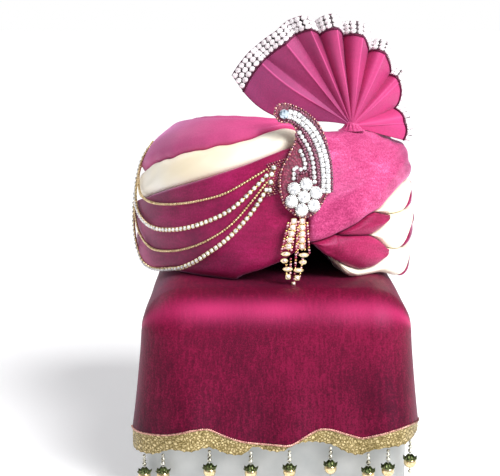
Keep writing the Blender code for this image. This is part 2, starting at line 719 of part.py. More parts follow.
def make_wraps():
    rim = edge(rim_edge)
    sash_low = edge(sash_low_edge)
    sash_high = edge(sash_high_edge)
    front_low = edge(front_low_edge)
    first_line = edge(first_fold_edge)
    second_line = edge(second_fold_edge)
    first_petal = edge(first_petal_edge)
    second_petal = edge(second_petal_edge)
    crown_line = edge([(-180, crown_station), (180, crown_station)])
    back = 180.0

    left = even_columns(left_columns)
    make_wrap("upper_wrap", sash_high, crown_line, front_seam, -back, left, "velvet")
    make_wrap("cream_sash", sash_low, sash_high, front_seam, -back, left, "cream_satin", -cream_sink)
    make_wrap("lower_wrap", rim, sash_low, front_seam, -back, left, "velvet")
    make_wrap("front_wrap", front_low, crown_line, front_seam, back,
              front_columns(front_seam, False, right_columns), "velvet", front_wrap_lift)

    first_start, second_start, third_start = fold_starts
    make_wrap("cream_fold_1", first_line, front_low, first_start, first_fold_end,
              front_columns(first_start, False, fold_columns), "cream_satin")
    make_wrap("cream_fold_2", second_line, past_tip(first_petal, first_line), second_start,
              second_fold_end, front_columns(second_start, False, fold_columns), "cream_satin")
    make_wrap("cream_fold_3", rim, past_tip(second_petal, second_line), third_start,
              third_fold_end, front_columns(third_start, False, fold_columns), "cream_satin")

    first_start, second_start = petal_starts
    first_meets, second_meets, petal_meets = line_meets
    make_wrap("velvet_fold_1", first_petal, lower_of(line_past(first_line, first_meets), front_low),
              first_start, fold_tip, front_columns(first_start), "velvet")
    make_wrap("velvet_fold_2", rim_before(rim, second_petal, petal_meets),
              lower_of(line_past(second_line, second_meets), front_low),
              second_start, fold_tip, front_columns(second_start), "velvet")

    rear = [even_columns(count) for count in rear_columns]
    make_wrap("rear_wrap_1", first_line, front_low, first_fold_end, back, rear[0], "velvet")
    make_wrap("rear_wrap_2", second_line, first_line, second_fold_end, back, rear[1], "velvet")
    make_wrap("rear_wrap_3", rim, second_line, third_fold_end, back, rear[2], "velvet")


def line_past(line, meets):
    """The line where it exists, past the place where it leaves the front wrap's edge."""
    return lambda angle: np.where(angle < meets, 1.0, line(angle))


def past_tip(petal, line):
    """A cream fold's upper edge: the petal's outline, then the line beyond its tip."""
    return lambda angle: np.where(angle < fold_tip + 0.01, petal(angle), line(angle))


def rim_before(rim, petal, meets):
    return lambda angle: np.where(angle < meets, rim(angle), petal(angle))


# Fan

def fan_columns():
    """Fold lines with a rounded middle between each two."""
    rows = fan_folds
    middles = (rows[1:] + rows[:-1]) / 2
    columns = np.empty((len(rows) + len(middles), rows.shape[1]))
    columns[0::2] = rows
    columns[1::2] = middles
    return columns


def fan_point(columns, radius, way, apex, offset):
    """Point at a radius along each fold line and at a share of the way to the cloth's edge."""
    turn = np.radians(columns[:, 0] + columns[:, 3] * np.sin(math.pi * way))
    depth = columns[:, 2] * fan_radius * way
    return apex + np.stack([radius * np.cos(turn), depth + offset, radius * np.sin(turn)], -1)


def trim_point(columns, out, apex, offset):
    """Point of the trim, out from the cloth's edge and turned back where the fan is turned away."""
    facing = np.clip(columns[:, 1], 0, 1)
    back = (out - gap) * np.sqrt(1 - facing ** 2)
    edge_radius = columns[:, 1] * fan_radius
    radius = edge_radius + gap + (out - gap) * facing
    point = fan_point(columns, radius, radius / edge_radius, apex, offset)
    point[:, 1] += back - columns[:, 2] * (radius - edge_radius) / columns[:, 1]
    return point


def make_knot(foot):
    turn = np.linspace(0, 2 * math.pi, knot_sides, endpoint=False)
    # Columns: share of the knot's height, share of its half width
    profile = np.array([(0.0, 0.90), (0.25, 0.98), (0.5, 1.0), (0.8, 0.82), (1.0, 0.40)])
    height, radius = profile.T[:, :, None] * np.array([knot_height, knot_width / 2])[:, None, None]
    rings = foot + np.stack(np.broadcast_arrays(radius * np.cos(turn), radius * np.sin(turn), height), -1)
    ring_solid("knot", foot, rings, foot + (0, 0, knot_height), "velvet")


def make_fan():
    base, _ = surface_frame(*knot_place)
    foot = base + (0, 0, front_wrap_lift)
    make_knot(foot)
    apex = foot + (0, 0, knot_height / 2)
    columns = fan_columns()
    near = knot_width / 2 + gap
    length = columns[:, 1] * fan_radius - near
    cloth, trim = [], []
    for side in (-1, 1):
        radii = [near + step * length for step in fan_rows]
        cloth.append(np.array([fan_point(columns, radius, radius / (near + length), apex,
                                         side * fan_thickness / 2) for radius in radii]))
        trim.append(np.array([trim_point(columns, out, apex, side * trim_thickness / 2)
                              for out in (gap, trim_width)]))
    sheet_solid("fan", *cloth, "velvet")
    sheet_solid("fan_trim", *trim, "clear_stone")


# Brooch

def kalgi_frame():
    """Place and axes of the brooch: right, up along its lean, and out."""
    origin, _ = surface_frame(*kalgi_place)
    turn = math.radians(kalgi_place[0] + turban_turn)
    lean = math.radians(kalgi_lean)
    facing = np.array([math.sin(turn), -math.cos(turn), 0.0])
    right = np.array([math.cos(turn), math.sin(turn), 0.0])
    up = np.array([0, 0, 1.0]) * math.cos(lean) - facing * math.sin(lean)
    out = facing * math.cos(lean) + np.array([0, 0, 1.0]) * math.sin(lean)
    angles, heights, count = kalgi_cover
    angle, station = np.meshgrid(np.linspace(*angles, count), np.linspace(*heights, count))
    cover = wound_outer(angle, station)
    cover = cover + out * np.where(angle > front_seam, front_wrap_lift, 0.0)[..., None]
    flat = cover - origin
    inside = np.abs(flat @ right) < kalgi_width / 2
    seat = (flat @ out)[inside].max() + gap - kalgi_sink
    return origin + out * seat, right, up, out


def on_kalgi(frame, across, up_share, out):
    origin, right, up, normal = frame
    across, up_share, out = np.broadcast_arrays(across, up_share, out)
    flat = right * (across * kalgi_width)[..., None] + up * (up_share * kalgi_height)[..., None]
    return origin + flat + normal * out[..., None]


def make_kalgi():
    frame = kalgi_frame()
    spine = smooth_line(kalgi_spine, 20)
    place = spine[:, :2] * (kalgi_width, kalgi_height)
    run = np.gradient(place, axis=0)
    run /= np.linalg.norm(run, axis=1, keepdims=True)
    side = np.stack([run[:, 1], -run[:, 0]], -1) * (spine[:, 2] * kalgi_width)[:, None]
    sections = []
    for point, half in zip(place, side):
        left = (point - half) / (kalgi_width, kalgi_height)
        right = (point + half) / (kalgi_width, kalgi_height)
        sections.append([on_kalgi(frame, *left, 0.0), on_kalgi(frame, *right, 0.0),
                         on_kalgi(frame, *right, kalgi_thickness), on_kalgi(frame, *left, kalgi_thickness)])
    swept_solid("kalgi_plate", sections, "gold_metal")

    face = kalgi_thickness + gap
    for name, (line, width, count) in stone_rows.items():
        make_row(name, frame, line, width, count, face)

    flower = [(0.0, 0.0)] + [(flower_ring * math.cos(a), flower_ring * math.sin(a))
                             for a in np.radians(90 + 360 / petal_count * np.arange(petal_count))]
    for number, (across, up) in enumerate(flower, 1):
        make_stone(f"flower_stone_{number}", frame, across / kalgi_width, up / kalgi_height, face,
                   flower_stone, flower_stone_height)
    make_stone("kalgi_tip_stone", frame, *tip_stone_place, face, tip_stone, tip_stone_height)
    make_pendant(frame)


def make_row(name, frame, line, width, count, face):
    """A raised setting along a line, its top narrower than its foot."""
    points = smooth_line(np.array(line) * (kalgi_width, kalgi_height), count)
    run = np.gradient(points, axis=0)
    run /= np.linalg.norm(run, axis=1, keepdims=True)
    side = np.stack([run[:, 1], -run[:, 0]], -1)
    # Columns: share of the half width, share of the height
    profile = [(-1.0, 0.0), (-1.0, 0.55), (-0.6, 1.0), (0.6, 1.0), (1.0, 0.55), (1.0, 0.0)]
    sections = []
    for point, away in zip(points, side):
        section = [point + away * width / 2 * w for w, _ in profile]
        sections.append([on_kalgi(frame, p[0] / kalgi_width, p[1] / kalgi_height, face + h * row_height)
                         for p, (_, h) in zip(section, profile)])
    swept_solid(name, sections, "clear_stone", 25)


def make_stone(name, frame, across, up, face, width, height):
    """A cut stone, flat at its foot, with a table and a ring of facets above its girdle."""
    turn = (np.arange(stone_sides) + 0.5) * 2 * math.pi / stone_sides
    # Columns: share of the half width, share of the height
    profile = [(0.62, 0.0), (1.0, 0.50), (1.0, 0.60), (0.55, 1.0)]
    rings = []
    for share, high in profile:
        reach = share * width / 2
        rings.append(on_kalgi(frame, across + reach * np.cos(turn) / kalgi_width,
                              up + reach * np.sin(turn) / kalgi_height, face + high * height))
    ring_solid(name, rings[0].mean(axis=0), rings, rings[-1].mean(axis=0), "clear_stone", 12)


def make_pendant(frame):
    """Bundle of bead strands that hangs straight down from the brooch's lower edge."""
    turn = math.radians(kalgi_place[0] + turban_turn)
    facing = np.array([math.sin(turn), -math.cos(turn), 0.0])
    right = np.array([math.cos(turn), math.sin(turn), 0.0])
    top = on_kalgi(frame, kalgi_spine[0, 0], kalgi_spine[0, 1], 0.0) - (0, 0, gap)
    angles, heights, count = pendant_cover
    angle, station = np.meshgrid(np.linspace(*angles, count), np.linspace(*heights, count))
    bulge = wound_outer(angle, station) + facing * front_wrap_lift
    seat = max(((bulge - top) @ facing).max() + 2 * gap, 0.0)
    origin = top + facing * seat
    length = top[2] - turban_base - pendant_foot
    # Columns: share of the length, share of the half width
    profile = [(0.0, 0.50), (0.10, 0.58), (0.35, 0.78), (0.62, 1.0), (0.76, 0.92), (0.86, 0.60),
               (1.0, 0.12)]
    sections = []
    for down, width in profile:
        middle = origin - (0, 0, down * length)
        half = right * width * pendant_width / 2
        deep = facing * pendant_thickness
        top_half = half * pendant_taper
        sections.append([middle - half, middle - top_half + deep, middle + top_half + deep, middle + half])
    swept_solid("pendant_strands", sections, "clear_stone")


# Chains

def lying_plate(name, place, span, thickness, finish):
    """A small plate that follows the turban's surface."""
    angle, station = np.meshgrid(np.linspace(place[0] - place[1], place[0] + place[1], 3),
                                 np.linspace(span[0], span[1], 6))
    point, normal = surface_frame(angle, station)
    sheet_solid(name, point + normal * (gap + thickness), point + normal * gap, finish)


def make_chains():
    lying_plate("chain_joint", joint_place, joint_stations, joint_thickness, "clear_stone")
    lying_plate("chain_hook", hook_place, hook_stations, joint_thickness, "gold_metal")
    for name, (diameter, route) in chain_routes.items():
        point, normal = surface_frame(*np.array(route).T)
        line = point + normal * (diameter / 2 + gap)
        length = np.sum(np.linalg.norm(np.diff(line, axis=0), axis=1))
        place = smooth_line(route, max(int(length / chain_step), 8) + 1)
        point, normal = surface_frame(*place.T)
        line = point + normal * (diameter / 2 + gap)
        curve = bpy.data.curves.new(name, "CURVE")
        curve.dimensions = "3D"
        curve.bevel_depth = diameter / 2
        curve.bevel_resolution = 2
        curve.use_fill_caps = True
        spline = curve.splines.new("POLY")
        spline.points.add(len(line) - 1)
        spline.points.foreach_set("co", np.c_[line, np.ones(len(line))].ravel())
        spline.use_smooth = True
        curve.materials.append(finish_material("gold_metal"))
        bpy.context.collection.objects.link(bpy.data.objects.new(name, curve))


clear_scene()
make_block()
make_tail()
make_drops()
make_cap()
make_crown()
make_wraps()
make_fan()
make_kalgi()
make_chains()
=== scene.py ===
import math

import bmesh
import bpy
import numpy as np
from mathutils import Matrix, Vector


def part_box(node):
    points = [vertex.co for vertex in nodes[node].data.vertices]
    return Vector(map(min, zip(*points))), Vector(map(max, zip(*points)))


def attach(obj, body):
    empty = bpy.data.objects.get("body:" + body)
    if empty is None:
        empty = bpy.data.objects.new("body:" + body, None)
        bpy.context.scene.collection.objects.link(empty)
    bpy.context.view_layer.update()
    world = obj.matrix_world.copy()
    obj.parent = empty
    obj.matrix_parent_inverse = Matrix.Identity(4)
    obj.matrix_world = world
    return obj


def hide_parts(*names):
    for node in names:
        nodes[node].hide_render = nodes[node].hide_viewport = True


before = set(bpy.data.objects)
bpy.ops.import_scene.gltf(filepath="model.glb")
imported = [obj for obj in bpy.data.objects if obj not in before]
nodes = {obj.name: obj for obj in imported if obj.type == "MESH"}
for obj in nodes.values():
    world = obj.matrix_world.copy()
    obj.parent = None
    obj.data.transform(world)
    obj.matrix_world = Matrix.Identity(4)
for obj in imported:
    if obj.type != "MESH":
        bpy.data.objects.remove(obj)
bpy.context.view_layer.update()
gap = 0.0003
print("frame loaded:", len(nodes), "nodes")


# Meshes

# Quads between each point of a grid and its next neighbours, closed round where asked
def gridFaces(rows, columns, closeColumns=False, first=0):
    index = first + np.arange(rows * columns).reshape(rows, columns)
    if closeColumns:
        index = np.hstack([index, index[:, :1]])
    corners = [index[:-1, :-1], index[:-1, 1:], index[1:, 1:], index[1:, :-1]]
    return np.stack(corners, -1).reshape(-1, 4).tolist()


# Closed sections carried along, with the first and the last one filled
def loftFaces(count, size):
    ends = [list(range(size)), list(range((count - 1) * size, count * size))]
    return gridFaces(count, size, closeColumns=True) + ends


# A front grid, a back grid of the same shape and a border between them
def sheetFaces(rows, columns):
    index = np.arange(rows * columns).reshape(rows, columns)
    border = np.r_[index[0, :-1], index[:-1, -1], index[-1, :0:-1], index[:0:-1, 0]]
    after, behind = np.roll(border, -1), rows * columns
    rim = np.stack([border, border + behind, after + behind, after], -1).tolist()
    return gridFaces(rows, columns) + gridFaces(rows, columns, first=behind) + rim


def addPiece(name, points, faces, material, uv=None, smooth=True, replaced=(), slot=None):
    mesh = bpy.data.meshes.new(name)
    mesh.from_pydata(np.asarray(points).reshape(-1, 3).tolist(), [], faces)
    work = bmesh.new()
    work.from_mesh(mesh)
    bmesh.ops.recalc_face_normals(work, faces=work.faces)      # faces point outwards
    work.to_mesh(mesh)
    work.free()
    if uv is not None:
        corner = np.empty(len(mesh.loops), dtype=np.int32)
        mesh.loops.foreach_get("vertex_index", corner)
        layer = mesh.uv_layers.new(name="cloth")
        layer.data.foreach_set("uv", np.asarray(uv).reshape(-1, 2)[corner].ravel())
    mesh.polygons.foreach_set("use_smooth", np.full(len(mesh.polygons), smooth))
    mesh.materials.append(material)
    piece = bpy.data.objects.new(name, mesh)
    bpy.context.scene.collection.objects.link(piece)
    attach(piece, "root")
    if replaced:
        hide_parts(*replaced)
    return piece


# Sections: a grid of section by point
def loftPiece(name, sections, material, uv=None, **rest):
    return addPiece(name, sections, loftFaces(*sections.shape[:2]), material, uv, **rest)


def sheetPiece(name, front, back, material, uv=None, **rest):
    both = np.concatenate([front.reshape(-1, 3), back.reshape(-1, 3)])
    if uv is not None:
        uv = np.concatenate([uv.reshape(-1, 2), uv.reshape(-1, 2)])
    return addPiece(name, both, sheetFaces(*front.shape[:2]), material, uv, **rest)


# Normals of a grid surface: the cross product of its two directions
def gridNormals(points):
    normal = np.cross(np.gradient(points, axis=1), np.gradient(points, axis=0))
    return normal / np.linalg.norm(normal, axis=-1, keepdims=True)


# Smooth curve through table rows (place, value): cubic pieces with the rows' own slopes,
# or with slopes that stay level at each high and low point
def levelSlopes(places, values):
    step = np.diff(places)
    rise = np.diff(values) / step
    before, after = rise[:-1], rise[1:]
    sameWay = before * after > 0
    near = 2 * step[1:] + step[:-1]
    far = step[1:] + 2 * step[:-1]
    share = near / np.where(sameWay, before, 1) + far / np.where(sameWay, after, 1)
    return np.r_[rise[0], np.where(sameWay, (near + far) / np.where(sameWay, share, 1), 0), rise[-1]]


def smoothTable(table, x, level=False):
    places, values = np.asarray(table, float).T
    x = np.clip(x, places[0], places[-1])
    slopes = levelSlopes(places, values) if level else np.gradient(values, places)
    row = np.clip(np.searchsorted(places, x, side="right") - 1, 0, len(places) - 2)
    step = places[row + 1] - places[row]
    s = (x - places[row]) / step
    return ((1 + 2 * s) * (1 - s) ** 2 * values[row] + s * (1 - s) ** 2 * step * slopes[row]
            + s * s * (3 - 2 * s) * values[row + 1] + s * s * (s - 1) * step * slopes[row + 1])


# Distance travelled along a line, at each of its points
def travel(line):
    return np.r_[0, np.cumsum(np.linalg.norm(np.diff(line, axis=0), axis=1))]


# Columns of a line, read at given distances along it
def readLine(columns, distances, places):
    return np.stack([np.interp(places, distances, column) for column in columns.T], -1)


# Points at equal distances along a fine line
def evenLine(curve, count):
    distances = travel(curve)
    return readLine(curve, distances, np.linspace(0, distances[-1], count))


def smoothLine(points, count, fineness=400):
    points = np.asarray(points, float)
    along = travel(points)
    fine = np.linspace(0, along[-1], fineness)
    curve = np.stack([smoothTable(np.c_[along, column], fine) for column in points.T], -1)
    return evenLine(curve, count)


def lineLength(line):
    return float(np.sum(np.linalg.norm(np.diff(line, axis=0), axis=1)))


def unit(vector):
    return vector / np.linalg.norm(vector, axis=-1, keepdims=True)


# Tube round a line: centre + radius (cos a * side + sin a * up) for a round the section
def tubeSections(line, radius, sides=8):
    run = unit(np.gradient(line, axis=0))
    side = unit(np.cross(run, np.array([0.12, 0.31, 0.94])))
    up = np.cross(side, run)
    turn = np.linspace(0, 2 * np.pi, sides, endpoint=False)[:, None]
    ring = np.cos(turn) * side[:, None] + np.sin(turn) * up[:, None]
    return line[:, None] + np.broadcast_to(radius, len(line))[:, None, None] * ring


# Small repeated shapes: a template of rings, copied to each place with its own axes

def roundOutline(sides):
    turn = (np.arange(sides) + 0.5) * 2 * np.pi / sides
    return np.stack([np.cos(turn), np.sin(turn)], -1)


def cutSquare(cut):
    corner = np.array([(1, 1 - cut), (1 - cut, 1)])
    turns = [np.array([(c, s), (-s, c)]) for c, s in ((1, 0), (0, 1), (-1, 0), (0, -1))]
    return np.concatenate([corner @ turn for turn in turns])


# Rings of (share of the half width, share of the height) round an outline, both ends closed
def ringShape(outline, rings):
    size = len(outline)
    points = np.concatenate([np.c_[outline * share, np.full(size, high)] for share, high in rings])
    return points, loftFaces(len(rings), size)


# Cut stone: rings that turn half a step, with triangles between them, and a flat table
def brilliantShape(sides):
    rings = [(0.86, 0.0, 0.0), (1.0, 0.34, 0.0), (1.0, 0.44, 0.0), (0.82, 0.76, 0.5), (0.54, 1.0, 0.0)]
    points = []
    for share, high, step in rings:
        turn = (np.arange(sides) + step) * 2 * np.pi / sides
        points.append(np.c_[share * np.cos(turn), share * np.sin(turn), np.full(sides, high)])
    faces = gridFaces(3, sides, closeColumns=True)
    here = np.arange(sides)
    after = (here + 1) % sides
    for low, high, turned in ((2, 3, True), (3, 4, False)):
        a, b = low * sides, high * sides
        if turned:                                  # the upper ring stands half a step on
            faces += np.stack([a + here, a + after, b + here], -1).tolist()
            faces += np.stack([a + after, b + after, b + here], -1).tolist()
        else:
            faces += np.stack([a + here, b + after, b + here], -1).tolist()
            faces += np.stack([a + here, a + after, b + after], -1).tolist()
    faces += [list(range(sides)), list(range(4 * sides, 5 * sides))]
    return np.concatenate(points), faces


def beadShape(sides=8, rings=4, length=1.0):
    tilt = np.linspace(-0.5, 0.5, rings + 2)[1:-1] * np.pi
    return ringShape(roundOutline(sides), [(np.cos(t), np.sin(t) * length) for t in tilt])


# Copies: place + x * right + y * up + z * out, for every copy and every template point at once
def copies(shape, places, size, frames=None):
    points, faces = shape
    places = np.asarray(places, float).reshape(-1, 3)
    if frames is None:
        frames = np.broadcast_to(np.eye(3), (len(places), 3, 3))
    size = np.broadcast_to(np.asarray(size, float), (len(places), 3))
    scaled = points[None] * size[:, None]
    spread = places[:, None] + np.einsum("nki,nij->nkj", scaled, frames)
    allFaces = []
    for sides in sorted(set(len(face) for face in faces)):
        group = np.array([face for face in faces if len(face) == sides])
        shifted = group[None] + len(points) * np.arange(len(places))[:, None, None]
        allFaces += shifted.reshape(-1, sides).tolist()
    return spread.reshape(-1, 3), allFaces


def joined(*parts):
    points, faces, start = [], [], 0
    for somePoints, someFaces in parts:
        points.append(somePoints)
        faces += [[i + start for i in face] for face in someFaces]
        start += len(somePoints)
    return np.concatenate(points), faces


# Materials

def addNode(tree, kind, inputs, **settings):
    node = tree.nodes.new("ShaderNode" + kind)
    for key, value in settings.items():
        setattr(node, key, value)
    for key, value in inputs.items():
        if isinstance(value, bpy.types.NodeSocket):
            tree.links.new(value, node.inputs[key])
        else:
            node.inputs[key].default_value = value
    return node


def newMaterial(name, **sockets):
    material = bpy.data.materials.new(name)
    material.use_nodes = True
    shader = material.node_tree.nodes["Principled BSDF"]
    for key, value in sockets.items():
        shader.inputs[key.replace("_", " ")].default_value = value
    return material, material.node_tree, shader


def noise(tree, vector, scale, detail=3.0, rough=0.55):
    return addNode(tree, "TexNoise", {"Vector": vector, "Scale": scale, "Detail": detail,
                                      "Roughness": rough}).outputs["Fac"]


def stretched(tree, vector, scale):
    return addNode(tree, "Mapping", {"Vector": vector, "Scale": scale}).outputs["Vector"]


def objectPlace(tree):
    return addNode(tree, "TexCoord", {}).outputs["Object"]


def clothPlace(tree):
    return addNode(tree, "TexCoord", {}).outputs["UV"]


def paint(tree, shader, colour):
    tree.links.new(colour, shader.inputs["Base Color"])


def mixedValue(tree, first, second, share):
    node = addNode(tree, "Mix", {"Factor": share, "A": first, "B": second}, data_type="FLOAT")
    return node.outputs["Result"]


def mixedColour(tree, first, second, share):
    return addNode(tree, "Mix", {"Factor": share, 6: first, 7: second}, data_type="RGBA").outputs[2]


def ramp(tree, factor, stops):
    node = addNode(tree, "ValToRGB", {"Fac": factor})
    elements = node.color_ramp.elements
    while len(elements) < len(stops):
        elements.new(0.5)
    for element, (place, colour) in zip(elements, stops):
        element.position = place
        element.color = (*colour, 1.0)
    return node.outputs["Color"]


def addBump(tree, shader, height, strength, distance):
    bump = addNode(tree, "Bump", {"Height": height, "Strength": strength, "Distance": distance})
    tree.links.new(bump.outputs["Normal"], shader.inputs["Normal"])


velvetLook = {
    # Colours of the crushed nap, from where it lies flat and dark to where it stands to the light
    "body": ((0.100, 0.0016, 0.022), (0.250, 0.0035, 0.052), (0.480, 0.013, 0.125)),
    # lit copy of the velvet, for the front wrap and knot: painted light, its top stop a painted
    # highlight
    "bright": ((0.310, 0.018, 0.092), (0.540, 0.058, 0.190), (0.800, 0.170, 0.400)),
    # mauve copy of the velvet, for the upper wrap and crown: painted sheen
    "haze": ((0.300, 0.040, 0.125), (0.500, 0.070, 0.195), (0.730, 0.110, 0.290)),
    # lighter copy of the velvet, for the petal folds: painted light
    "petal": ((0.165, 0.0032, 0.028), (0.290, 0.009, 0.062), (0.450, 0.026, 0.118)),
    # darker copy of the velvet, for the tail: painted shade
    "tail": ((0.042, 0.0006, 0.008), (0.115, 0.0014, 0.018), (0.250, 0.005, 0.045)),
    "roughness": 0.50,
    "sheen": 0.40,
    "sheenRoughness": 0.38,
    "sheenTint": (0.95, 0.45, 0.85),
    "glossTint": (1.0, 0.55, 0.90),
    "streakScale": (90.0, 360.0, 1.0),
    "napScale": 720.0,
    "napShare": 0.38,
    "darkStop": 0.14,
    "lightStop": 0.16,
    "bump": 0.35,
    "napDistance": 0.0005,
}


# Crushed velvet: soft patches on Object coordinates and fine nap streaks along the cloth
def velvetMaterial(name, shade=1.0, patches=24.0, sheen=1.0, streaks=0.26, tones="body",
                   contrast=1.0, gloss=0.42):
    look = velvetLook
    material, tree, shader = newMaterial(
        name, Roughness=look["roughness"], Sheen_Weight=look["sheen"] * sheen,
        Sheen_Roughness=look["sheenRoughness"], Specular_IOR_Level=gloss)
    shader.inputs["Specular Tint"].default_value = (*look["glossTint"], 1.0)
    shader.inputs["Sheen Tint"].default_value = (*look["sheenTint"], 1.0)
    place = objectPlace(tree)
    soft = noise(tree, place, patches, 2.0)
    streak = noise(tree, stretched(tree, clothPlace(tree), look["streakScale"]), 1.0, 3.0, 0.6)
    nap = noise(tree, place, look["napScale"], 2.0, 0.7)
    mixed = mixedValue(tree, mixedValue(tree, soft, streak, streaks), nap, look["napShare"])
    colours = [tuple(shade * c for c in colour) for colour in look[tones]]
    stops = (0.5 - look["darkStop"] / contrast, 0.5, 0.5 + look["lightStop"] / contrast)
    paint(tree, shader, ramp(tree, mixed, list(zip(stops, colours))))
    height = addNode(tree, "Math", {0: nap, 1: streak}, operation="ADD").outputs["Value"]
    addBump(tree, shader, height, look["bump"], look["napDistance"])
    return material


# Velvet with painted light and shade across the piece and a painted highlight on its folds: one
# attribute runs from 0 to 1 across the piece and mixes in the painted light and shade, and "ridge" is 1
# on a fold line, where the painted highlight is mixed in
def foldedVelvet(name, paintedLightStops, paintedLightShare, paintedHighlightColour=(1.0, 1.0, 1.0), paintedHighlightShare=0.0, **rest):
    material = velvetMaterial(name, **rest)
    tree = material.node_tree
    shader = tree.nodes["Principled BSDF"]
    colour = shader.inputs["Base Color"].links[0].from_socket
    # painted light and shade, read from the attribute
    lie = addNode(tree, "Attribute", {}, attribute_name="lie").outputs["Fac"]
    colour = mixedColour(tree, colour, ramp(tree, lie, paintedLightStops), paintedLightShare)
    # painted highlight on the fold lines
    if paintedHighlightShare:
        ridge = addNode(tree, "Attribute", {}, attribute_name="ridge").outputs["Fac"]
        share = addNode(tree, "Math", {0: ridge, 1: paintedHighlightShare}, operation="MULTIPLY").outputs["Value"]
        colour = mixedColour(tree, colour, (*paintedHighlightColour, 1.0), share)
    paint(tree, shader, colour)
    return material


# A value at each point of a piece, the same on a sheet's back as on its front
def addMark(piece, title, values):
    mark = piece.data.attributes.new(title, "FLOAT", "POINT")
    values = np.asarray(values).ravel()
    values = np.tile(values, len(mark.data) // len(values))
    mark.data.foreach_set("value", values.astype(np.float32))


# Dark thread of the band that the trim's stones are set on
def trimBackingMaterial(name):
    material, tree, shader = newMaterial(name, Roughness=0.5)
    weave = noise(tree, objectPlace(tree), 900.0, 2.0)
    paint(tree, shader, ramp(tree, weave, [(0.35, (0.015, 0.008, 0.012)), (0.7, (0.10, 0.06, 0.08))]))
    return material


satinLook = {
    "shades": [(0.30, (0.99, 0.85, 0.60)), (0.52, (1.0, 0.92, 0.75)), (0.75, (1.0, 0.96, 0.87))],
    "patches": 16.0,
    "twill": (300.0, 1800.0, 1.0),
    "sheen": 0.25,
    "roughness": 0.42,
}


# Cream satin: a fine twill across the cloth and faint warm shading
def satinMaterial(name):
    look = satinLook
    material, tree, shader = newMaterial(name, Roughness=look["roughness"],
                                         Sheen_Weight=look["sheen"], Sheen_Roughness=0.4)
    paint(tree, shader, ramp(tree, noise(tree, objectPlace(tree), look["patches"], 2.0), look["shades"]))
    twill = noise(tree, stretched(tree, clothPlace(tree), look["twill"]), 1.0, 2.0)
    addBump(tree, shader, twill, 0.25, 0.0002)
    return material


# Metal with faint tarnish in patches
def metalMaterial(name, bright, dull, rough=0.22, scale=500.0):
    material, tree, shader = newMaterial(name, Metallic=1.0, Roughness=rough)
    fine = noise(tree, objectPlace(tree), scale, 3.0)
    paint(tree, shader, ramp(tree, fine, [(0.35, dull), (0.6, bright)]))
    worn = addNode(tree, "MapRange", {"Value": fine, "To Min": rough * 0.7, "To Max": rough * 1.6})
    tree.links.new(worn.outputs["Result"], shader.inputs["Roughness"])
    return material


# Foiled stone: each little cell of the foil has its own light or dark base colour, a painted sparkle
# standing in for light thrown back by the facets
def stoneMaterial(name, dark, light, scale=620.0, metallic=0.35):
    material, tree, shader = newMaterial(name, Metallic=metallic, Roughness=0.07, IOR=1.7,
                                         Coat_Weight=0.6, Coat_Roughness=0.03)
    cells = addNode(tree, "TexVoronoi", {"Vector": objectPlace(tree), "Scale": scale})
    grey = addNode(tree, "RGBToBW", {"Color": cells.outputs["Color"]}).outputs["Val"]
    middle = tuple((a + 2 * b) / 3 for a, b in zip(dark, light))
    paint(tree, shader, ramp(tree, grey, [(0.22, dark), (0.42, middle), (0.65, light)]))
    return material


# Woven metallic lace: loops and blossoms as cells in the cloth's own map
def laceMaterial(name):
    material, tree, shader = newMaterial(name, Metallic=0.55, Roughness=0.36)
    along = clothPlace(tree)
    cells = addNode(tree, "TexVoronoi", {"Vector": along, "Scale": 420.0}, feature="DISTANCE_TO_EDGE")
    speck = noise(tree, along, 900.0, 3.0, 0.7)
    woven = addNode(tree, "Math", {0: cells.outputs["Distance"], 1: speck}, operation="ADD")
    woven = woven.outputs["Value"]
    paint(tree, shader, ramp(tree, woven, [(0.42, (0.100, 0.070, 0.018)), (0.62, (0.305, 0.230, 0.085)),
                                           (0.85, (0.76, 0.62, 0.34))]))
    addBump(tree, shader, woven, 0.7, 0.0005)
    return material


# Board: faint mottling on a matt white face, its white greyed to about half: painted shade
def boardMaterial(name):
    material, tree, shader = newMaterial(name, Roughness=0.62)
    place = objectPlace(tree)
    mottle = noise(tree, place, 38.0, 4.0)
    paint(tree, shader, ramp(tree, mottle, [(0.3, (0.44, 0.46, 0.46)), (0.7, (0.56, 0.57, 0.56))]))
    addBump(tree, shader, noise(tree, place, 260.0, 3.0), 0.2, 0.0003)
    return material


# Backing of the brooch: the plate's velvet cover with a few metal grains in it
def filigreeMaterial(name):
    material, tree, shader = newMaterial(name, Metallic=0.0, Roughness=0.5, Sheen_Weight=0.2)
    cells = addNode(tree, "TexVoronoi", {"Vector": objectPlace(tree), "Scale": 520.0})
    cells = cells.outputs["Distance"]
    paint(tree, shader, ramp(tree, cells, [(0.06, (0.50, 0.10, 0.16)), (0.20, (0.24, 0.006, 0.052)),
                                           (0.7, (0.10, 0.003, 0.024))]))
    height = addNode(tree, "Math", {0: 1.0, 1: cells}, operation="SUBTRACT").outputs["Value"]
    addBump(tree, shader, height, 0.6, 0.0005)
    return material


velvet = velvetMaterial("velvet")
# Painted shade and light: the band is plum at the far left and round the back and red at the front; the
# upper wrap and crown carry a painted sheen of mauve at the back and left that turns to lit pink at the
# front
bandVelvet = foldedVelvet(
    "bandVelvet", [(0.25, (0.130, 0.016, 0.055)), (0.70, (0.260, 0.008, 0.072)),
                   (1.0, (0.310, 0.0036, 0.046))], 0.42, contrast=1.3)
paintedSheenVelvet = foldedVelvet(
    "paintedSheenVelvet", [(0.30, (0.42, 0.075, 0.21)), (0.95, (0.74, 0.070, 0.25))], 0.55,
    tones="haze", contrast=0.7)
# lit copy of the velvet for the front wrap and knot: painted light and painted highlight
paintedLitVelvet = velvetMaterial("paintedLitVelvet", patches=20.0, tones="bright", contrast=1.35)
# lighter copy of the velvet for the petal folds: painted light
petalVelvet = velvetMaterial("petalVelvet", sheen=0.7, tones="petal", contrast=1.2)
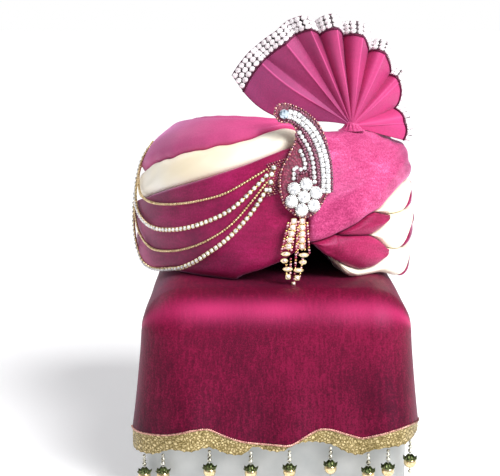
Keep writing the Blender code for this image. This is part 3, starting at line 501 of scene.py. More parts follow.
# painted shade on the left panels growing into painted light on the right, and a painted highlight along
# each ridge
fanVelvet = foldedVelvet(
    "fanVelvet", [(0.0, (0.26, 0.055, 0.16)), (0.45, (0.42, 0.050, 0.16)),
                  (1.0, (0.80, 0.085, 0.30))], 0.60, (0.86, 0.12, 0.36), 0.62)
# darker copy of the velvet: painted shade, deeper towards the hem, with a painted highlight along the
# fold over the block's edge
tailVelvet = foldedVelvet(
    "tailVelvet", [(0.0, (0.14, 0.0018, 0.024)), (1.0, (0.032, 0.0005, 0.008))], 0.40,
    (0.62, 0.035, 0.165), 0.72, patches=13.0, sheen=0.16, streaks=0.50,
    tones="tail", contrast=1.7, gloss=0.22)
# darkened copy of the velvet: painted shade on the tube along the fan's edge, and the colour of the
# trim's pipings
plumVelvet = velvetMaterial("plumVelvet", 0.30)
creamSatin = satinMaterial("creamSatin")
chainGold = metalMaterial("chainGold", (0.92, 0.74, 0.44), (0.50, 0.34, 0.16), 0.26)
darkGold = metalMaterial("darkGold", (0.40, 0.20, 0.10), (0.14, 0.05, 0.03), 0.30)
gold = metalMaterial("gold", (0.95, 0.70, 0.30), (0.55, 0.33, 0.10))
paleGold = metalMaterial("paleGold", (0.95, 0.80, 0.50), (0.62, 0.46, 0.22))
roseGold = metalMaterial("roseGold", (0.86, 0.50, 0.42), (0.36, 0.14, 0.13), 0.28)
silver = metalMaterial("silver", (0.92, 0.92, 0.90), (0.50, 0.48, 0.44), 0.18)
agedSilver = metalMaterial("agedSilver", (0.80, 0.79, 0.70), (0.22, 0.20, 0.14), 0.24, 300.0)
clearStone = stoneMaterial("clearStone", (0.46, 0.47, 0.50), (1.0, 1.0, 1.0), metallic=0.12)
trimStone = stoneMaterial("trimStone", (0.62, 0.55, 0.58), (0.92, 0.87, 0.89), metallic=0.0)
creamStone = stoneMaterial("creamStone", (0.50, 0.30, 0.30), (1.0, 0.90, 0.86), metallic=0.1)
blueStone = stoneMaterial("blueStone", (0.18, 0.26, 0.34), (0.70, 0.82, 0.92))
plumBead = stoneMaterial("plumBead", (0.045, 0.006, 0.018), (0.26, 0.06, 0.12), 800.0, 0.15)
garnet = stoneMaterial("garnet", (0.10, 0.008, 0.02), (0.50, 0.05, 0.12), 800.0, 0.1)
rose = stoneMaterial("rose", (0.36, 0.10, 0.16), (0.95, 0.56, 0.62), 800.0, 0.2)
leafGreen = metalMaterial("leafGreen", (0.20, 0.24, 0.10), (0.03, 0.05, 0.015), 0.30, 380.0)
lace = laceMaterial("lace")
board = boardMaterial("board")
lining = velvetMaterial("lining", 0.10)
trimBacking = trimBackingMaterial("trimBacking")
filigree = filigreeMaterial("filigree")
print("materials made:", len(bpy.data.materials))


# Form of the turban, as the solids have it

block = {"width": 0.220, "depth": 0.332, "height": 0.172, "front": -0.186, "round": 0.034,
         "arcPoints": 14, "topInset": 0.997}
tail = {"clearance": 0.0006, "thickness": 0.002, "back": 0.112, "curl": 84.0, "drop": 0.078,
        "waveDepth": 0.0065, "standoff": 0.006, "ripple": 0.007, "laceWidth": 0.009,
        "laceDepth": 0.008, "laceThickness": 0.0026}
form = {"width": 0.259, "length": 0.284, "height": 0.1125, "turn": 14.0, "frontRise": 0.014,
        "sideRise": 0.004, "puffHeight": 0.0253, "puffReach": 0.105, "puffCentre": (-0.040, -0.030),
        "puffStretch": 1.25, "puffPower": 3, "puffFall": 0.85, "puffEdge": (0.004, 0.046),
        "sagPower": 4, "rimSag": (0.007, 0.014), "sagInset": 0.022, "sagReach": 0.034,
        "capWidth": 0.166, "capLength": 0.206, "capHeight": 0.092,
        "capClearance": 0.0015, "crownStation": 0.87, "frontSeam": -3.0, "foldTip": 34.8,
        "frontLift": 0.0025, "creamSink": 0.001}
turbanBase = block["height"] + tail["clearance"] + tail["thickness"] + gap

# Columns: outer radius, outer height, cap radius, cap height
turbanProfile = np.array([
    (0.760, 0.000, 1.000, 0.000), (0.910, 0.000, 1.000, 0.060), (0.965, 0.030, 1.000, 0.140),
    (0.990, 0.120, 1.000, 0.240), (1.000, 0.250, 1.000, 0.360), (1.000, 0.380, 0.995, 0.470),
    (0.990, 0.520, 0.980, 0.580), (0.970, 0.660, 0.955, 0.680), (0.940, 0.770, 0.910, 0.770),
    (0.875, 0.880, 0.840, 0.850), (0.780, 0.955, 0.750, 0.910), (0.660, 0.985, 0.650, 0.950),
    (0.550, 0.975, 0.550, 0.975), (0.450, 0.940, 0.450, 0.985)])

# Edges of the wound pieces. Columns: angle, station
rimEdge = [(-180, 0.0), (-36, 0.0), (-30, 0.07), (-27, 0.128), (-18, 0.175), (-11, 0.216),
           (-4, 0.276), (-1, 0.284), (3, 0.241), (8, 0.201), (11, 0.158), (15, 0.11),
           (19, 0.05), (24, 0.0), (180, 0.0)]
sashLowEdge = [(-180, 0.41), (-110, 0.43), (-83, 0.466), (-69, 0.499), (-56, 0.531),
               (-43, 0.566), (-27, 0.619), (-18, 0.657), (-8, 0.699), (0, 0.725)]
sashHighEdge = [(-180, 0.54), (-120, 0.565), (-91, 0.596), (-80, 0.628), (-67, 0.649),
                (-54, 0.675), (-39, 0.699), (-25, 0.734), (-12, 0.796), (0, 0.832)]
frontLowEdge = [(-6, 0.287), (-1, 0.297), (3, 0.308), (9, 0.334), (15, 0.361), (21, 0.396),
                (27, 0.418), (33, 0.457), (42, 0.499), (52, 0.522), (70, 0.528),
                (110, 0.505), (180, 0.480)]
firstFoldEdge = [(20, 0.402), (24.5, 0.408), (29, 0.399), (34, 0.388), (42, 0.388),
                 (60, 0.392), (90, 0.386), (180, 0.350)]
secondFoldEdge = [(4, 0.323), (10, 0.319), (16, 0.312), (22.5, 0.303), (28, 0.275),
                  (33.5, 0.240), (42, 0.232), (60, 0.232), (90, 0.224), (180, 0.200)]
firstPetalEdge = [(4, 0.323), (10, 0.319), (16, 0.312), (22.5, 0.306), (27, 0.322),
                  (31, 0.348), (34.8, 0.381)]
secondPetalEdge = [(6, 0.214), (8, 0.203), (14, 0.169), (20.5, 0.149), (26, 0.154),
                   (30.5, 0.183), (34.8, 0.227)]
firstFoldEnd = (50.0, 58.0, 76.0)
secondFoldEnd = (46.0, 56.0, 76.0)
thirdFoldEnd = (42.0, 50.0, 72.0)

profileSteps = np.linalg.norm(np.diff(turbanProfile[:, :2], axis=0), axis=1)
stations = np.r_[0, np.cumsum(profileSteps)] / np.sum(profileSteps)
realSteps = np.diff(turbanProfile[:, :2] * (form["width"] / 2, form["height"]), axis=0)
profileLength = float(np.sum(np.linalg.norm(realSteps, axis=1)))


# Oval in plan: 1 / radius^2 = (sin a / half width)^2 + (cos a / half length)^2
def oval(angle, halfWidth, halfLength):
    turn = np.radians(angle)
    return 1 / np.sqrt((np.sin(turn) / halfWidth) ** 2 + (np.cos(turn) / halfLength) ** 2)


def onPlan(angle, radius, height):
    turn = np.radians(angle + form["turn"])
    return np.stack([radius * np.sin(turn), -radius * np.cos(turn), turbanBase + height], -1)


# Outer form: an oval times a profile, tilted up to the front, with a bell over the left half:
# height += share^3 * bell height * exp(-(distance / reach)^2) * (1 - fall * smooth step),
# and a rim that sags a little where it overhangs the block
def outerPoint(angle, radiusShare, heightShare):
    angle, radiusShare, heightShare = np.broadcast_arrays(angle, radiusShare, heightShare)
    turn = np.radians(angle)
    radius = oval(angle, form["width"] / 2, form["length"] / 2) * radiusShare
    tilt = radiusShare * (form["frontRise"] * np.cos(turn) + form["sideRise"] * np.sin(turn))
    point = onPlan(angle, radius, heightShare * (form["height"] + tilt))
    centre, (edgeStart, edgeEnd) = form["puffCentre"], form["puffEdge"]
    away = ((point[..., 0] - centre[0]) ** 2
            + ((point[..., 1] - centre[1]) / form["puffStretch"]) ** 2) / form["puffReach"] ** 2
    fall = np.clip((point[..., 0] - edgeStart) / (edgeEnd - edgeStart), 0, 1)
    kept = 1 - form["puffFall"] * fall * fall * (3 - 2 * fall)
    point[..., 2] += heightShare ** form["puffPower"] * form["puffHeight"] * np.exp(-away) * kept
    over = np.abs(point[..., 0]) - block["width"] / 2 + form["sagInset"]
    over = np.clip(over / form["sagReach"], 0, 1)
    sag = np.where(point[..., 0] < 0, *form["rimSag"]) * over * over * (3 - 2 * over)
    point[..., 2] -= sag * (1 - heightShare) ** form["sagPower"]
    return point


def capPoint(angle, radiusShare, heightShare, inset=0.0):
    angle, radiusShare, heightShare = np.broadcast_arrays(angle, radiusShare, heightShare)
    radius = oval(angle, form["capWidth"] / 2 - inset, form["capLength"] / 2 - inset) * radiusShare
    return onPlan(angle, radius, (form["capHeight"] - inset) * heightShare)


def woundOuter(angle, station):
    shares = [smoothTable(np.c_[stations, turbanProfile[:, k]], station, k == 1) for k in (0, 1)]
    return outerPoint(angle, *shares)


def woundInner(angle, station):
    shares = [smoothTable(np.c_[stations, turbanProfile[:, k]], station) for k in (2, 3)]
    return capPoint(angle, *shares, -form["capClearance"])


# Outer point and its outward normal, from small steps each way
def surfaceFrame(angle, station, step=0.5):
    angle, station = np.broadcast_arrays(np.asarray(angle, float), np.asarray(station, float))
    along = woundOuter(angle + step, station) - woundOuter(angle - step, station)
    up = woundOuter(angle, station + step / 100) - woundOuter(angle, station - step / 100)
    return woundOuter(angle, station), unit(np.cross(along, up))


# Wound cloth

wrapLook = {
    "columns": 150,
    "rows": 44,
    "innerRows": 8,
    "evenColumns": 0.35,          # the rest of the spacing crowds towards both ends
    "evenRows": 0.4,
    "endInset": 0.1,              # degrees left free at each end
    "creaseDepth": 0.0065,
    "creaseReach": 0.0085,
    "creaseShare": 0.42,          # the most of a band's height that one rolled edge takes
    "deepestCrease": 0.6,         # as a share of the cloth's depth
    "hemWave": 0.0028,            # of the cream sash's upper edge, in stations
    "fill": 0.9,
    "paintedLightSpan": 100.0,             # degrees from the front over which painted light fades into the painted shade of the sides and back
}
foldLook = {
    "creamStarts": (25.5, 23.6, 9.5),
    "velvetStarts": (9.0, -1.5),
    "velvetMeets": (25.0, 7.5),   # where a velvet fold meets the cream one above it
    "rimMeets": 8.0,
    "velvetLift": 0.0008,
    "creamColumns": (60, 60, 70),
    "velvetColumns": (60, 80),
}
# Slack waves of each piece. Columns: height, waves up the piece, drift along it, phase
wrapWaves = {
    "upperWrap": [(0.0008, 1.1, 1.2, 2.2), (0.0003, 2.4, -1.7, 0.3)],
    "creamSash": [(0.0004, 1.0, 2.2, 1.0), (0.00025, 2.0, 9.0, 0.5)],
    "lowerWrap": [(0.0011, 1.3, 1.6, 0.4), (0.0007, 2.6, -2.3, 1.9), (0.0004, 5.0, 4.2, 0.7)],
    "frontWrap": [(0.0016, 1.5, -1.1, 0.6), (0.0009, 2.8, 1.9, 2.0), (0.0005, 5.5, -4.0, 0.2)],
    "creamFold_1": [(0.0005, 1.0, 0.6, 0.3)],
    "creamFold_2": [(0.0005, 1.0, 0.5, 1.3)],
    "creamFold_3": [(0.0006, 1.0, 0.8, 2.0)],
    "velvetFold_1": [(0.0005, 1.5, 1.0, 0.4)],
    "velvetFold_2": [(0.0007, 1.4, 0.9, 1.4)],
    "rearWrap_1": [(0.0007, 1.2, 1.5, 1.0), (0.0005, 2.6, -2.0, 2.0)],
    "rearWrap_2": [(0.0007, 1.2, 1.5, 2.0), (0.0005, 2.6, -2.0, 4.0)],
    "rearWrap_3": [(0.0007, 1.2, 1.5, 3.0), (0.0005, 2.6, -2.0, 6.0)],
}


def edge(table):
    return lambda angle: smoothTable(table, angle, level=True)


def lowerOf(first, second):
    return lambda angle: np.minimum(first(angle), second(angle))


# Low soft waves that run with the cloth and fade at its edges:
# sum of amplitude * sin(2 pi (across * count + along * drift) + phase)
def clothWaves(along, across, waves):
    height = np.zeros(np.broadcast(along, across).shape)
    for amplitude, count, drift, phase in waves:
        height = height + amplitude * np.sin(2 * np.pi * (across * count + along * drift) + phase)
    return height * np.sin(np.pi * np.clip(across, 0, 1)) ** 0.7


# Shares from 0 to 1, part even and part crowded towards both ends
def crowded(count, evenness):
    even = np.linspace(0, 1, count)
    return evenness * even + (1 - evenness) * (0.5 - 0.5 * np.cos(np.pi * even))


# Quarter round at an edge: depth * (1 - sqrt(1 - (1 - distance / reach)^2))
def rolledEdge(distance, reach, depth):
    share = np.clip(1 - distance / reach, 0, 1)
    return depth * (1 - np.sqrt(np.clip(1 - share ** 2, 0, 1)))


# A wound piece: out from the cap along rays to the outer form, its edges rolled in
def wrapPiece(name, low, high, start, end, material, lift=0.0, columns=None, sharpTop=1.0,
              endRoll=1.0, slot="velvet"):
    look = wrapLook
    along = crowded(columns or look["columns"], look["evenColumns"])[:, None]

    def place(across):
        first, last = [np.interp(across, (0, 0.5, 1), np.broadcast_to(value, 3))
                       for value in (start, end)]
        inset = look["endInset"] * np.sign(np.mean(end) - np.mean(start))
        angle = first + inset + along * (last - first - 2 * inset)
        bottom = low(angle) + gap / profileLength
        top = high(angle) - gap / profileLength
        return angle, bottom + across * (top - bottom), top - bottom

    across = crowded(look["rows"], look["evenRows"])
    angle, station, height = place(across)
    band = height * profileLength
    reach = np.minimum(look["creaseReach"], look["creaseShare"] * band) + 1e-5
    dip = rolledEdge(across * band, reach, look["creaseDepth"])
    dip = dip + rolledEdge((1 - across) * band, reach * sharpTop, look["creaseDepth"])
    fromEnd = np.minimum(np.abs(angle - angle[0]), np.abs(angle[-1] - angle))
    fromEnd = np.radians(fromEnd) * form["width"] / 2
    dip = dip + rolledEdge(fromEnd, look["creaseReach"], look["creaseDepth"] * endRoll)

    inner, outer = woundInner(angle, station), woundOuter(angle, station)
    ray = outer - inner
    depth = np.linalg.norm(ray, axis=-1)
    dip = np.minimum(dip, look["deepestCrease"] * depth)
    raised = lift - dip + clothWaves(along, across, wrapWaves[name])
    outer = outer + ray * (raised / depth)[..., None]

    backAngle, backStation, _ = place(np.linspace(0, 1, look["innerRows"])[::-1])
    sections = np.concatenate([outer, woundInner(backAngle, backStation)], axis=1)
    angle = np.concatenate([angle, backAngle], axis=1)
    station = np.concatenate([station, backStation], axis=1)
    uv = np.stack([np.radians(angle) * form["width"] / 2, station * profileLength], -1)
    piece = loftPiece(name, sections, material, uv, replaced=(nodeName(name),), slot=slot)
    # painted light and shade: 1 at the front seam, falling to 0 over the span given in the look
    addMark(piece, "lie", np.clip(1 - np.abs(angle - form["frontSeam"]) / look["paintedLightSpan"], 0, 1))
    return piece


def nodeName(name):
    letters = [("_" + c.lower()) if c.isupper() else c for c in name]
    return "".join(letters).replace("Wrap", "wrap")


def linePast(line, meets):
    return lambda angle: np.where(angle < meets, 1.0, line(angle))


def pastTip(petal, line):
    return lambda angle: np.where(angle < form["foldTip"] + 0.01, petal(angle), line(angle))


def rimBefore(rim, petal, meets):
    return lambda angle: np.where(angle < meets, rim(angle), petal(angle))


# An edge with small waves that grow and fade along it
def wavyHem(line):
    wave = wrapLook["hemWave"]

    def hem(angle):
        beat = np.sin(np.radians(angle * 21.0)) * np.sin(np.radians(angle * 2.7 + 40))
        return line(angle) + wave * beat + 0.6 * wave * np.sin(np.radians(angle * 36.0 + 60))

    return hem


def makeWraps():
    rim, sashLow, sashHigh = edge(rimEdge), edge(sashLowEdge), wavyHem(edge(sashHighEdge))
    frontLow, firstLine, secondLine = edge(frontLowEdge), edge(firstFoldEdge), edge(secondFoldEdge)
    firstPetal, secondPetal = edge(firstPetalEdge), edge(secondPetalEdge)
    crownLine = lambda angle: np.full(np.shape(angle), form["crownStation"])
    seam, back, tip, look = form["frontSeam"], 180.0, form["foldTip"], foldLook

    wrapPiece("upperWrap", sashHigh, crownLine, seam, -back, paintedSheenVelvet)
    wrapPiece("creamSash", sashLow, sashHigh, seam, -back, creamSatin, -form["creamSink"],
              endRoll=0.2, slot="cream_satin")
    wrapPiece("lowerWrap", rim, sashLow, seam, -back, bandVelvet, sharpTop=0.45)
    wrapPiece("frontWrap", frontLow, crownLine, seam, back, paintedLitVelvet, form["frontLift"])

    # from the top: the line below each layer, the line above its cream fold and behind it
    layers = [(firstLine, frontLow, frontLow, firstFoldEnd),
              (secondLine, pastTip(firstPetal, firstLine), firstLine, secondFoldEnd),
              (rim, pastTip(secondPetal, secondLine), secondLine, thirdFoldEnd)]
    for number, (low, above, _, end) in enumerate(layers):
        wrapPiece(f"creamFold_{number + 1}", low, above, look["creamStarts"][number], end,
                  creamSatin, columns=look["creamColumns"][number], slot="cream_satin")
    petals = [(firstPetal, firstLine), (rimBefore(rim, secondPetal, look["rimMeets"]), secondLine)]
    for number, (low, above) in enumerate(petals):
        high = lowerOf(linePast(above, look["velvetMeets"][number]), frontLow)
        wrapPiece(f"velvetFold_{number + 1}", low, high, look["velvetStarts"][number], tip,
                  petalVelvet, look["velvetLift"], look["velvetColumns"][number])
    for number, (low, _, behind, end) in enumerate(layers):
        wrapPiece(f"rearWrap_{number + 1}", low, behind, end, back, velvet)


crownLook = {
    "fill": 0.9,
    "columns": 220,
    "gathers": 26,
    "gatherDepth": 0.0009,
    "creaseDepth": 0.0055,
    "creaseReach": 0.05,          # in shares of the radius
    "rimRings": (1.0, 0.985, 0.96),
    "fallRings": 34,
    "underStep": 4,
    "swirl": 7.0,                 # radians that a gather turns on its way in
    # degrees round from the front to where the crown's painted light is brightest; its painted sheen
    # lies opposite
    "hazeTurn": 20.0,
    "clothScale": (0.06, 0.1),    # metres of cloth round by a radian, and in by the whole radius
    # Columns: radius share, outer height share, cap height share
    "rings": np.array([(0.54, 0.972, 0.976), (0.38, 0.925, 0.990), (0.20, 0.905, 0.997),
                       (0.0, 0.900, 1.0)]),
}


# Crown: rings that fall softly to the middle, gathered towards it in radial pleats
# height += depth * sin(gathers * angle + swirl) * fade, which is 0 at the rim and in the middle
def makeCrown():
    look = crownLook
    angle = np.linspace(-180, 180, look["columns"], endpoint=False)
    clear = 2 * form["capClearance"]
    station = form["crownStation"] + gap / profileLength
    rim = smoothTable(np.c_[stations, turbanProfile[:, 0]], station)
    rimHeight = smoothTable(np.c_[stations, turbanProfile[:, 1]], station, True)
    shares = look["rings"][::-1]
    outerTable = np.r_[shares[:, [0, 1]], [(rim, rimHeight)]]
    capTable = shares[:, [0, 2]]
    radius = np.r_[look["rimRings"], np.linspace(0.93, 0.02, look["fallRings"])] * rim
    dip = rolledEdge(rim - radius, look["creaseReach"], look["creaseDepth"])
    top = outerPoint(angle[None], radius[:, None], smoothTable(outerTable, radius)[:, None])
    swirl = look["swirl"] * (1 - radius / rim)
    gather = np.sin(np.radians(look["gathers"] * angle)[None] + swirl[:, None])
    fade = np.clip((1 - radius / rim) * 2.4, 0, 1) * np.clip(radius / rim * 3.5, 0, 1)
    top[..., 2] += look["gatherDepth"] * gather * fade[:, None] - dip[:, None]
    inner = radius[::look["underStep"]]
    under = capPoint(angle[None], inner[:, None], smoothTable(capTable, inner)[:, None], -clear)
    rings = np.concatenate([under[::-1], top])
    across, inwards = look["clothScale"]
    uv = np.stack(np.broadcast_arrays(np.radians(angle)[None] * across,
                                      np.r_[inner[::-1], radius][:, None] * inwards), -1)
    crown = loftPiece("crownTop", rings, paintedSheenVelvet, uv, replaced=("crown",), slot="velvet")
    # painted light towards the front right, painted sheen towards the back left
    lie = np.clip(0.5 + 0.5 * np.cos(np.radians(angle - look["hazeTurn"])), 0, 1)
    addMark(crown, "lie", np.broadcast_to(lie, rings.shape[:2]))


makeWraps()
makeCrown()
print("wound cloth made")


# Block, tail and lace

# Rounded block: a rounded rectangle whose inset follows a quarter round at the top:
# inset = r (1 - cos t), height = h - r (1 - sin t)
def makeBlock():
    radius, arc = block["round"], block["arcPoints"]
    middle = block["front"] + block["depth"] / 2
    half = np.array([block["width"] / 2 - radius, block["depth"] / 2 - radius])
    quarter = np.radians(np.linspace(0, 90, arc))
    turn = np.concatenate([quarter + k * np.pi / 2 for k in range(4)])
    signs = np.repeat([(1, 1), (-1, 1), (-1, -1), (1, -1)], arc, axis=0)
    rise = np.radians(np.linspace(0, 90, arc))
    inset = np.r_[0.0, radius * (1 - np.cos(rise[:-1])), radius * block["topInset"]]
    height = np.r_[0.0, block["height"] - radius * (1 - np.sin(rise))]
    reach = radius - inset[:, None]
    x = signs[:, 0] * half[0] + reach * np.cos(turn)
    y = signs[:, 1] * half[1] + reach * np.sin(turn) + middle
    sections = np.stack([x, y, np.broadcast_to(height[:, None], x.shape)], -1)
    loftPiece("displayBlock", sections, board, replaced=("display_block",), slot="white_board")


hemWave = [(-1.0, -0.6), (-0.8, 0.0), (-0.6, 1.0), (-0.5, 1.0), (-0.4, 0.2), (-0.17, -0.9),
           (0.0, -1.0), (0.1, -0.9), (0.2, 0.0), (0.32, 0.9), (0.38, 0.9), (0.53, 0.2),
           (0.62, -0.2), (0.72, 0.3), (0.82, 0.9), (0.94, 0.9), (1.0, 0.4)]
laceWave = [(-1.0, -1.2), (-0.86, -0.8), (-0.76, 0.0), (-0.62, 0.0), (-0.5, 0.3), (-0.36, -0.4),
            (-0.24, -0.4), (-0.17, 0.3), (-0.08, 0.0), (0.03, 0.0), (0.12, 0.7), (0.31, 0.8),
            (0.41, 0.5), (0.51, -0.2), (0.6, -0.5), (0.7, 0.1), (0.78, 0.35), (0.87, 0.4),
            (1.0, 0.9)]
tailRound = block["round"] + tail["clearance"]
tailFlat = block["width"] / 2 - block["round"]
tailHalf = tailFlat + (tailRound + tail["thickness"]) * math.sin(math.radians(tail["curl"]))
tailLook = {
    "flatColumns": 120,
    "curlColumns": 26,
    "topRows": 46,
    "turnRows": 26,
    "frontRows": 52,
    "firstRow": 0.02,
    "foldDepth": 0.0007,
    "dentShare": 0.9,             # of the dents that show; the rest is taken up by the nap
    # Dents: two crossed waves each. Columns: share, then per metre across, along, and the phase
    "dents": [(1.0, (38, 9, 0.0), (11, 52, 0.5)), (0.6, (96, -21, 1.0), (0, 31, 2.0))],
    # Loose hem. Columns: share, radians over the half width, phase
    "hemWaves": [(0.3, 9.0, 0.8), (0.2, 17.0, 0.0)],
    "highlightTurn": 50.0,           # degrees over the block's edge to the middle of the painted highlight
    "highlightReach": 0.0095,
}


def tailColumns():
    look = tailLook
    flat = np.linspace(-1, 1, look["flatColumns"] + 1) * tailFlat
    curl = np.linspace(0, tail["curl"], look["curlColumns"] + 1)[1:]
    across = np.r_[np.full(len(curl), -tailFlat), flat, np.full(len(curl), tailFlat)]
    return across, np.r_[-curl[::-1], np.zeros(len(flat)), curl]


def hemShare(across, bend):
    return (across + (tailRound + tail["thickness"]) * np.sin(np.radians(bend))) / tailHalf


# Tail: flat on the block, a quarter turn over its front edge and straight down, with its
# sides bent round the block by their own angle
def tailPoint(across, bend, turn, back, drop, offset):
    reach = tailRound + offset
    lift = reach * np.cos(np.radians(bend))
    x = across + reach * np.sin(np.radians(bend))
    y = block["front"] + block["round"] - lift * np.sin(np.radians(turn)) + back
    z = block["height"] - block["round"] + lift * np.cos(np.radians(turn)) - drop
    return np.stack(np.broadcast_arrays(x, y, z), -1)


def ripple(share, down):
    waves = 0.5
    for height, count, phase in tailLook["hemWaves"]:
        waves = waves + height * np.sin(count * share + phase)
    return down ** 1.5 * (tail["standoff"] + tail["ripple"] * waves)


def hemDrop(share):
    return tail["drop"] - tail["waveDepth"] * smoothTable(hemWave, share)


def laceDrop(share):
    middle = tail["drop"] + tail["waveDepth"] / 2 + tail["laceWidth"]
    return middle - tail["laceDepth"] * smoothTable(laceWave, share)


# Shallow dents of soft cloth on a firm form:
# depth * (1 + half the sum of share * sin(one wave) * sin(the other))
def tailDents(x, run):
    dents = 0.0
    for share, *waves in tailLook["dents"]:
        first, second = [np.sin(a * x + b * run + phase) for a, b, phase in waves]
        dents = dents + share * first * second
    return tailLook["foldDepth"] * (1.0 + 0.5 * dents)


# Rows of the tail run along the block's top, round its edge and down its front
def makeTail():
    look = tailLook
    across, bend = tailColumns()
    share = hemShare(across, bend)
    run = tail["back"] - (block["front"] + block["round"])
    rows = [(0.0, run * k, 0.0) for k in np.linspace(1.0, look["firstRow"], look["topRows"])]
    rows += [(turn, 0.0, 0.0) for turn in np.linspace(0, 90, look["turnRows"])]
    rows += [(90.0, 0.0, down) for down in np.linspace(look["firstRow"], 1.0, look["frontRows"])]
    turn, back, down = np.array(rows).T[:, :, None]
    drop = down * hemDrop(share)
    width = across + np.radians(bend) * tailRound
    travelled = run - back + np.radians(turn) * tailRound + drop
    stand = ripple(share, down)
    thick = tail["thickness"] + tailDents(width, travelled) * look["dentShare"]
    front = tailPoint(across, bend, turn, back, drop, thick + stand)
    rear = tailPoint(across, bend, turn, back, drop, stand)
    uv = np.stack(np.broadcast_arrays(travelled, width), -1)
    cloth = sheetPiece("velvetTail", front, rear, tailVelvet, uv, replaced=("tail_cloth",),
                       slot="velvet")
    # Painted highlight along the fold over the block's edge, stronger and weaker in patches across the
    # tail, and painted shade that deepens down the front towards the hem
    patchyHighlight = 0.72 + 0.28 * np.sin(31 * width + 0.8) * np.sin(74 * width + 2.0)
    highlightMiddle = run + np.radians(look["highlightTurn"]) * tailRound
    fromHighlight = (travelled - highlightMiddle) / look["highlightReach"]
    addMark(cloth, "ridge", np.exp(-fromHighlight ** 2) * patchyHighlight)
    addMark(cloth, "lie", np.broadcast_to(down, fromHighlight.shape))
    return cloth, (float(np.ptp(width)), float(travelled.max()))


laceLook = {
    "columns": 560,
    "rows": 26,
    "scallop": 0.0009,
    "scallopWidth": 0.0058,
    "raised": 0.0003,
    "weave": 0.0006,              # what the raised threads add to the band under them
    # Arches in rows. Columns: share, width and height in millimetres, slant
    "arches": [(1.0, 5.8, 5.2, 0.0), (0.6, 2.9, 2.6, 1.0)],
    "cordPoints": 420,
    "threads": 2,
    "threadTurn": 1.25,           # radians from one point of the cord to the next
    "threadShift": 0.00042,
    "threadRadius": 0.00055,
}


# Lace: a band between the hem and its own wavy edge, with woven rows of small arches raised
# on it, and a scalloped lower edge
def makeLace():
    look = laceLook
    even = np.linspace(0, 1, look["columns"])
    across, bend = [np.interp(even, np.linspace(0, 1, len(c)), c) for c in tailColumns()]
    share = hemShare(across, bend)
    width = across + np.radians(bend) * tailRound
    scallop = look["scallop"] * np.abs(np.sin(width / look["scallopWidth"] * np.pi))
    high = hemDrop(share) + gap
    low = laceDrop(share) - scallop
    drop = high + np.linspace(0, 1, look["rows"])[:, None] * (low - high)
    down, wide, arches = (drop - high) * 1000, width * 1000, 0.0
    for part, archWidth, archHeight, slant in look["arches"]:
        arches = arches + (part * np.cos(wide * 2 * np.pi / archWidth + slant * down)
                           * np.cos(down * 2 * np.pi / archHeight))
    raised = look["raised"] * np.clip(arches, -0.6, 1.2)
    stand = ripple(share, 1.0)
    front = tailPoint(across, bend, 90.0, 0.0, drop,
                      tail["laceThickness"] - look["weave"] + raised + stand)
    rear = tailPoint(across, bend, 90.0, 0.0, drop, stand)
    uv = np.stack(np.broadcast_arrays(width, -drop), -1)
    border = sheetPiece("goldLace", front, rear, lace, uv, replaced=("tail_lace",), slot="gold_lace")

    cord = tailPoint(across, bend, 90.0, 0.0, high - 0.0002, tail["laceThickness"] + stand)
    cord = evenLine(cord, look["cordPoints"])
    run = np.gradient(cord, axis=0)
    side = unit(np.cross(run, (0.05, -1.0, 0.1)))
    out = unit(np.cross(side, run))
    turn = np.arange(len(cord))[:, None] * look["threadTurn"]
    strands = []
    for phase in np.arange(look["threads"]) * 2 * np.pi / look["threads"]:
        shift = look["threadShift"] * (np.cos(turn + phase) * side + np.sin(turn + phase) * out)
        sections = tubeSections(cord + shift, look["threadRadius"], 6)
        strands.append((sections.reshape(-1, 3), loftFaces(*sections.shape[:2])))
    piping = addPiece("lacePiping", *joined(*strands), roseGold, slot="gold_lace")
    return border, piping


makeBlock()
tailPiece, tailFlatSize = makeTail()
lacePiece, pipingPiece = makeLace()
print("block, tail and lace made")


# Bead drops

dropLook = {
    "count": 9,
    # Columns: distance below the drop's top, radius
    "beads": [(0.0018, 0.001445), (0.0052, 0.0017), (0.0088, 0.001955), (0.0268, 0.0016)],
    "wire": (0.0135, 0.0128, 0.0005),         # middle, half length, radius
    "ball": (0.0187, 0.0052),                 # distance below the drop's top, radius
    "leaves": 6,
    "leafTurn": 0.4,
    "leafGrid": (7, 5),
    "leafStart": (0.0010, 0.0116),            # out from the axis, below the drop's top
    "leafLength": 0.0056,
    "leafWidth": 0.0030,
    "leafFall": 0.0042,
    "leafFlare": 0.0012,
    "leafCup": 0.0006,
    "leafThickness": 0.0004,
}


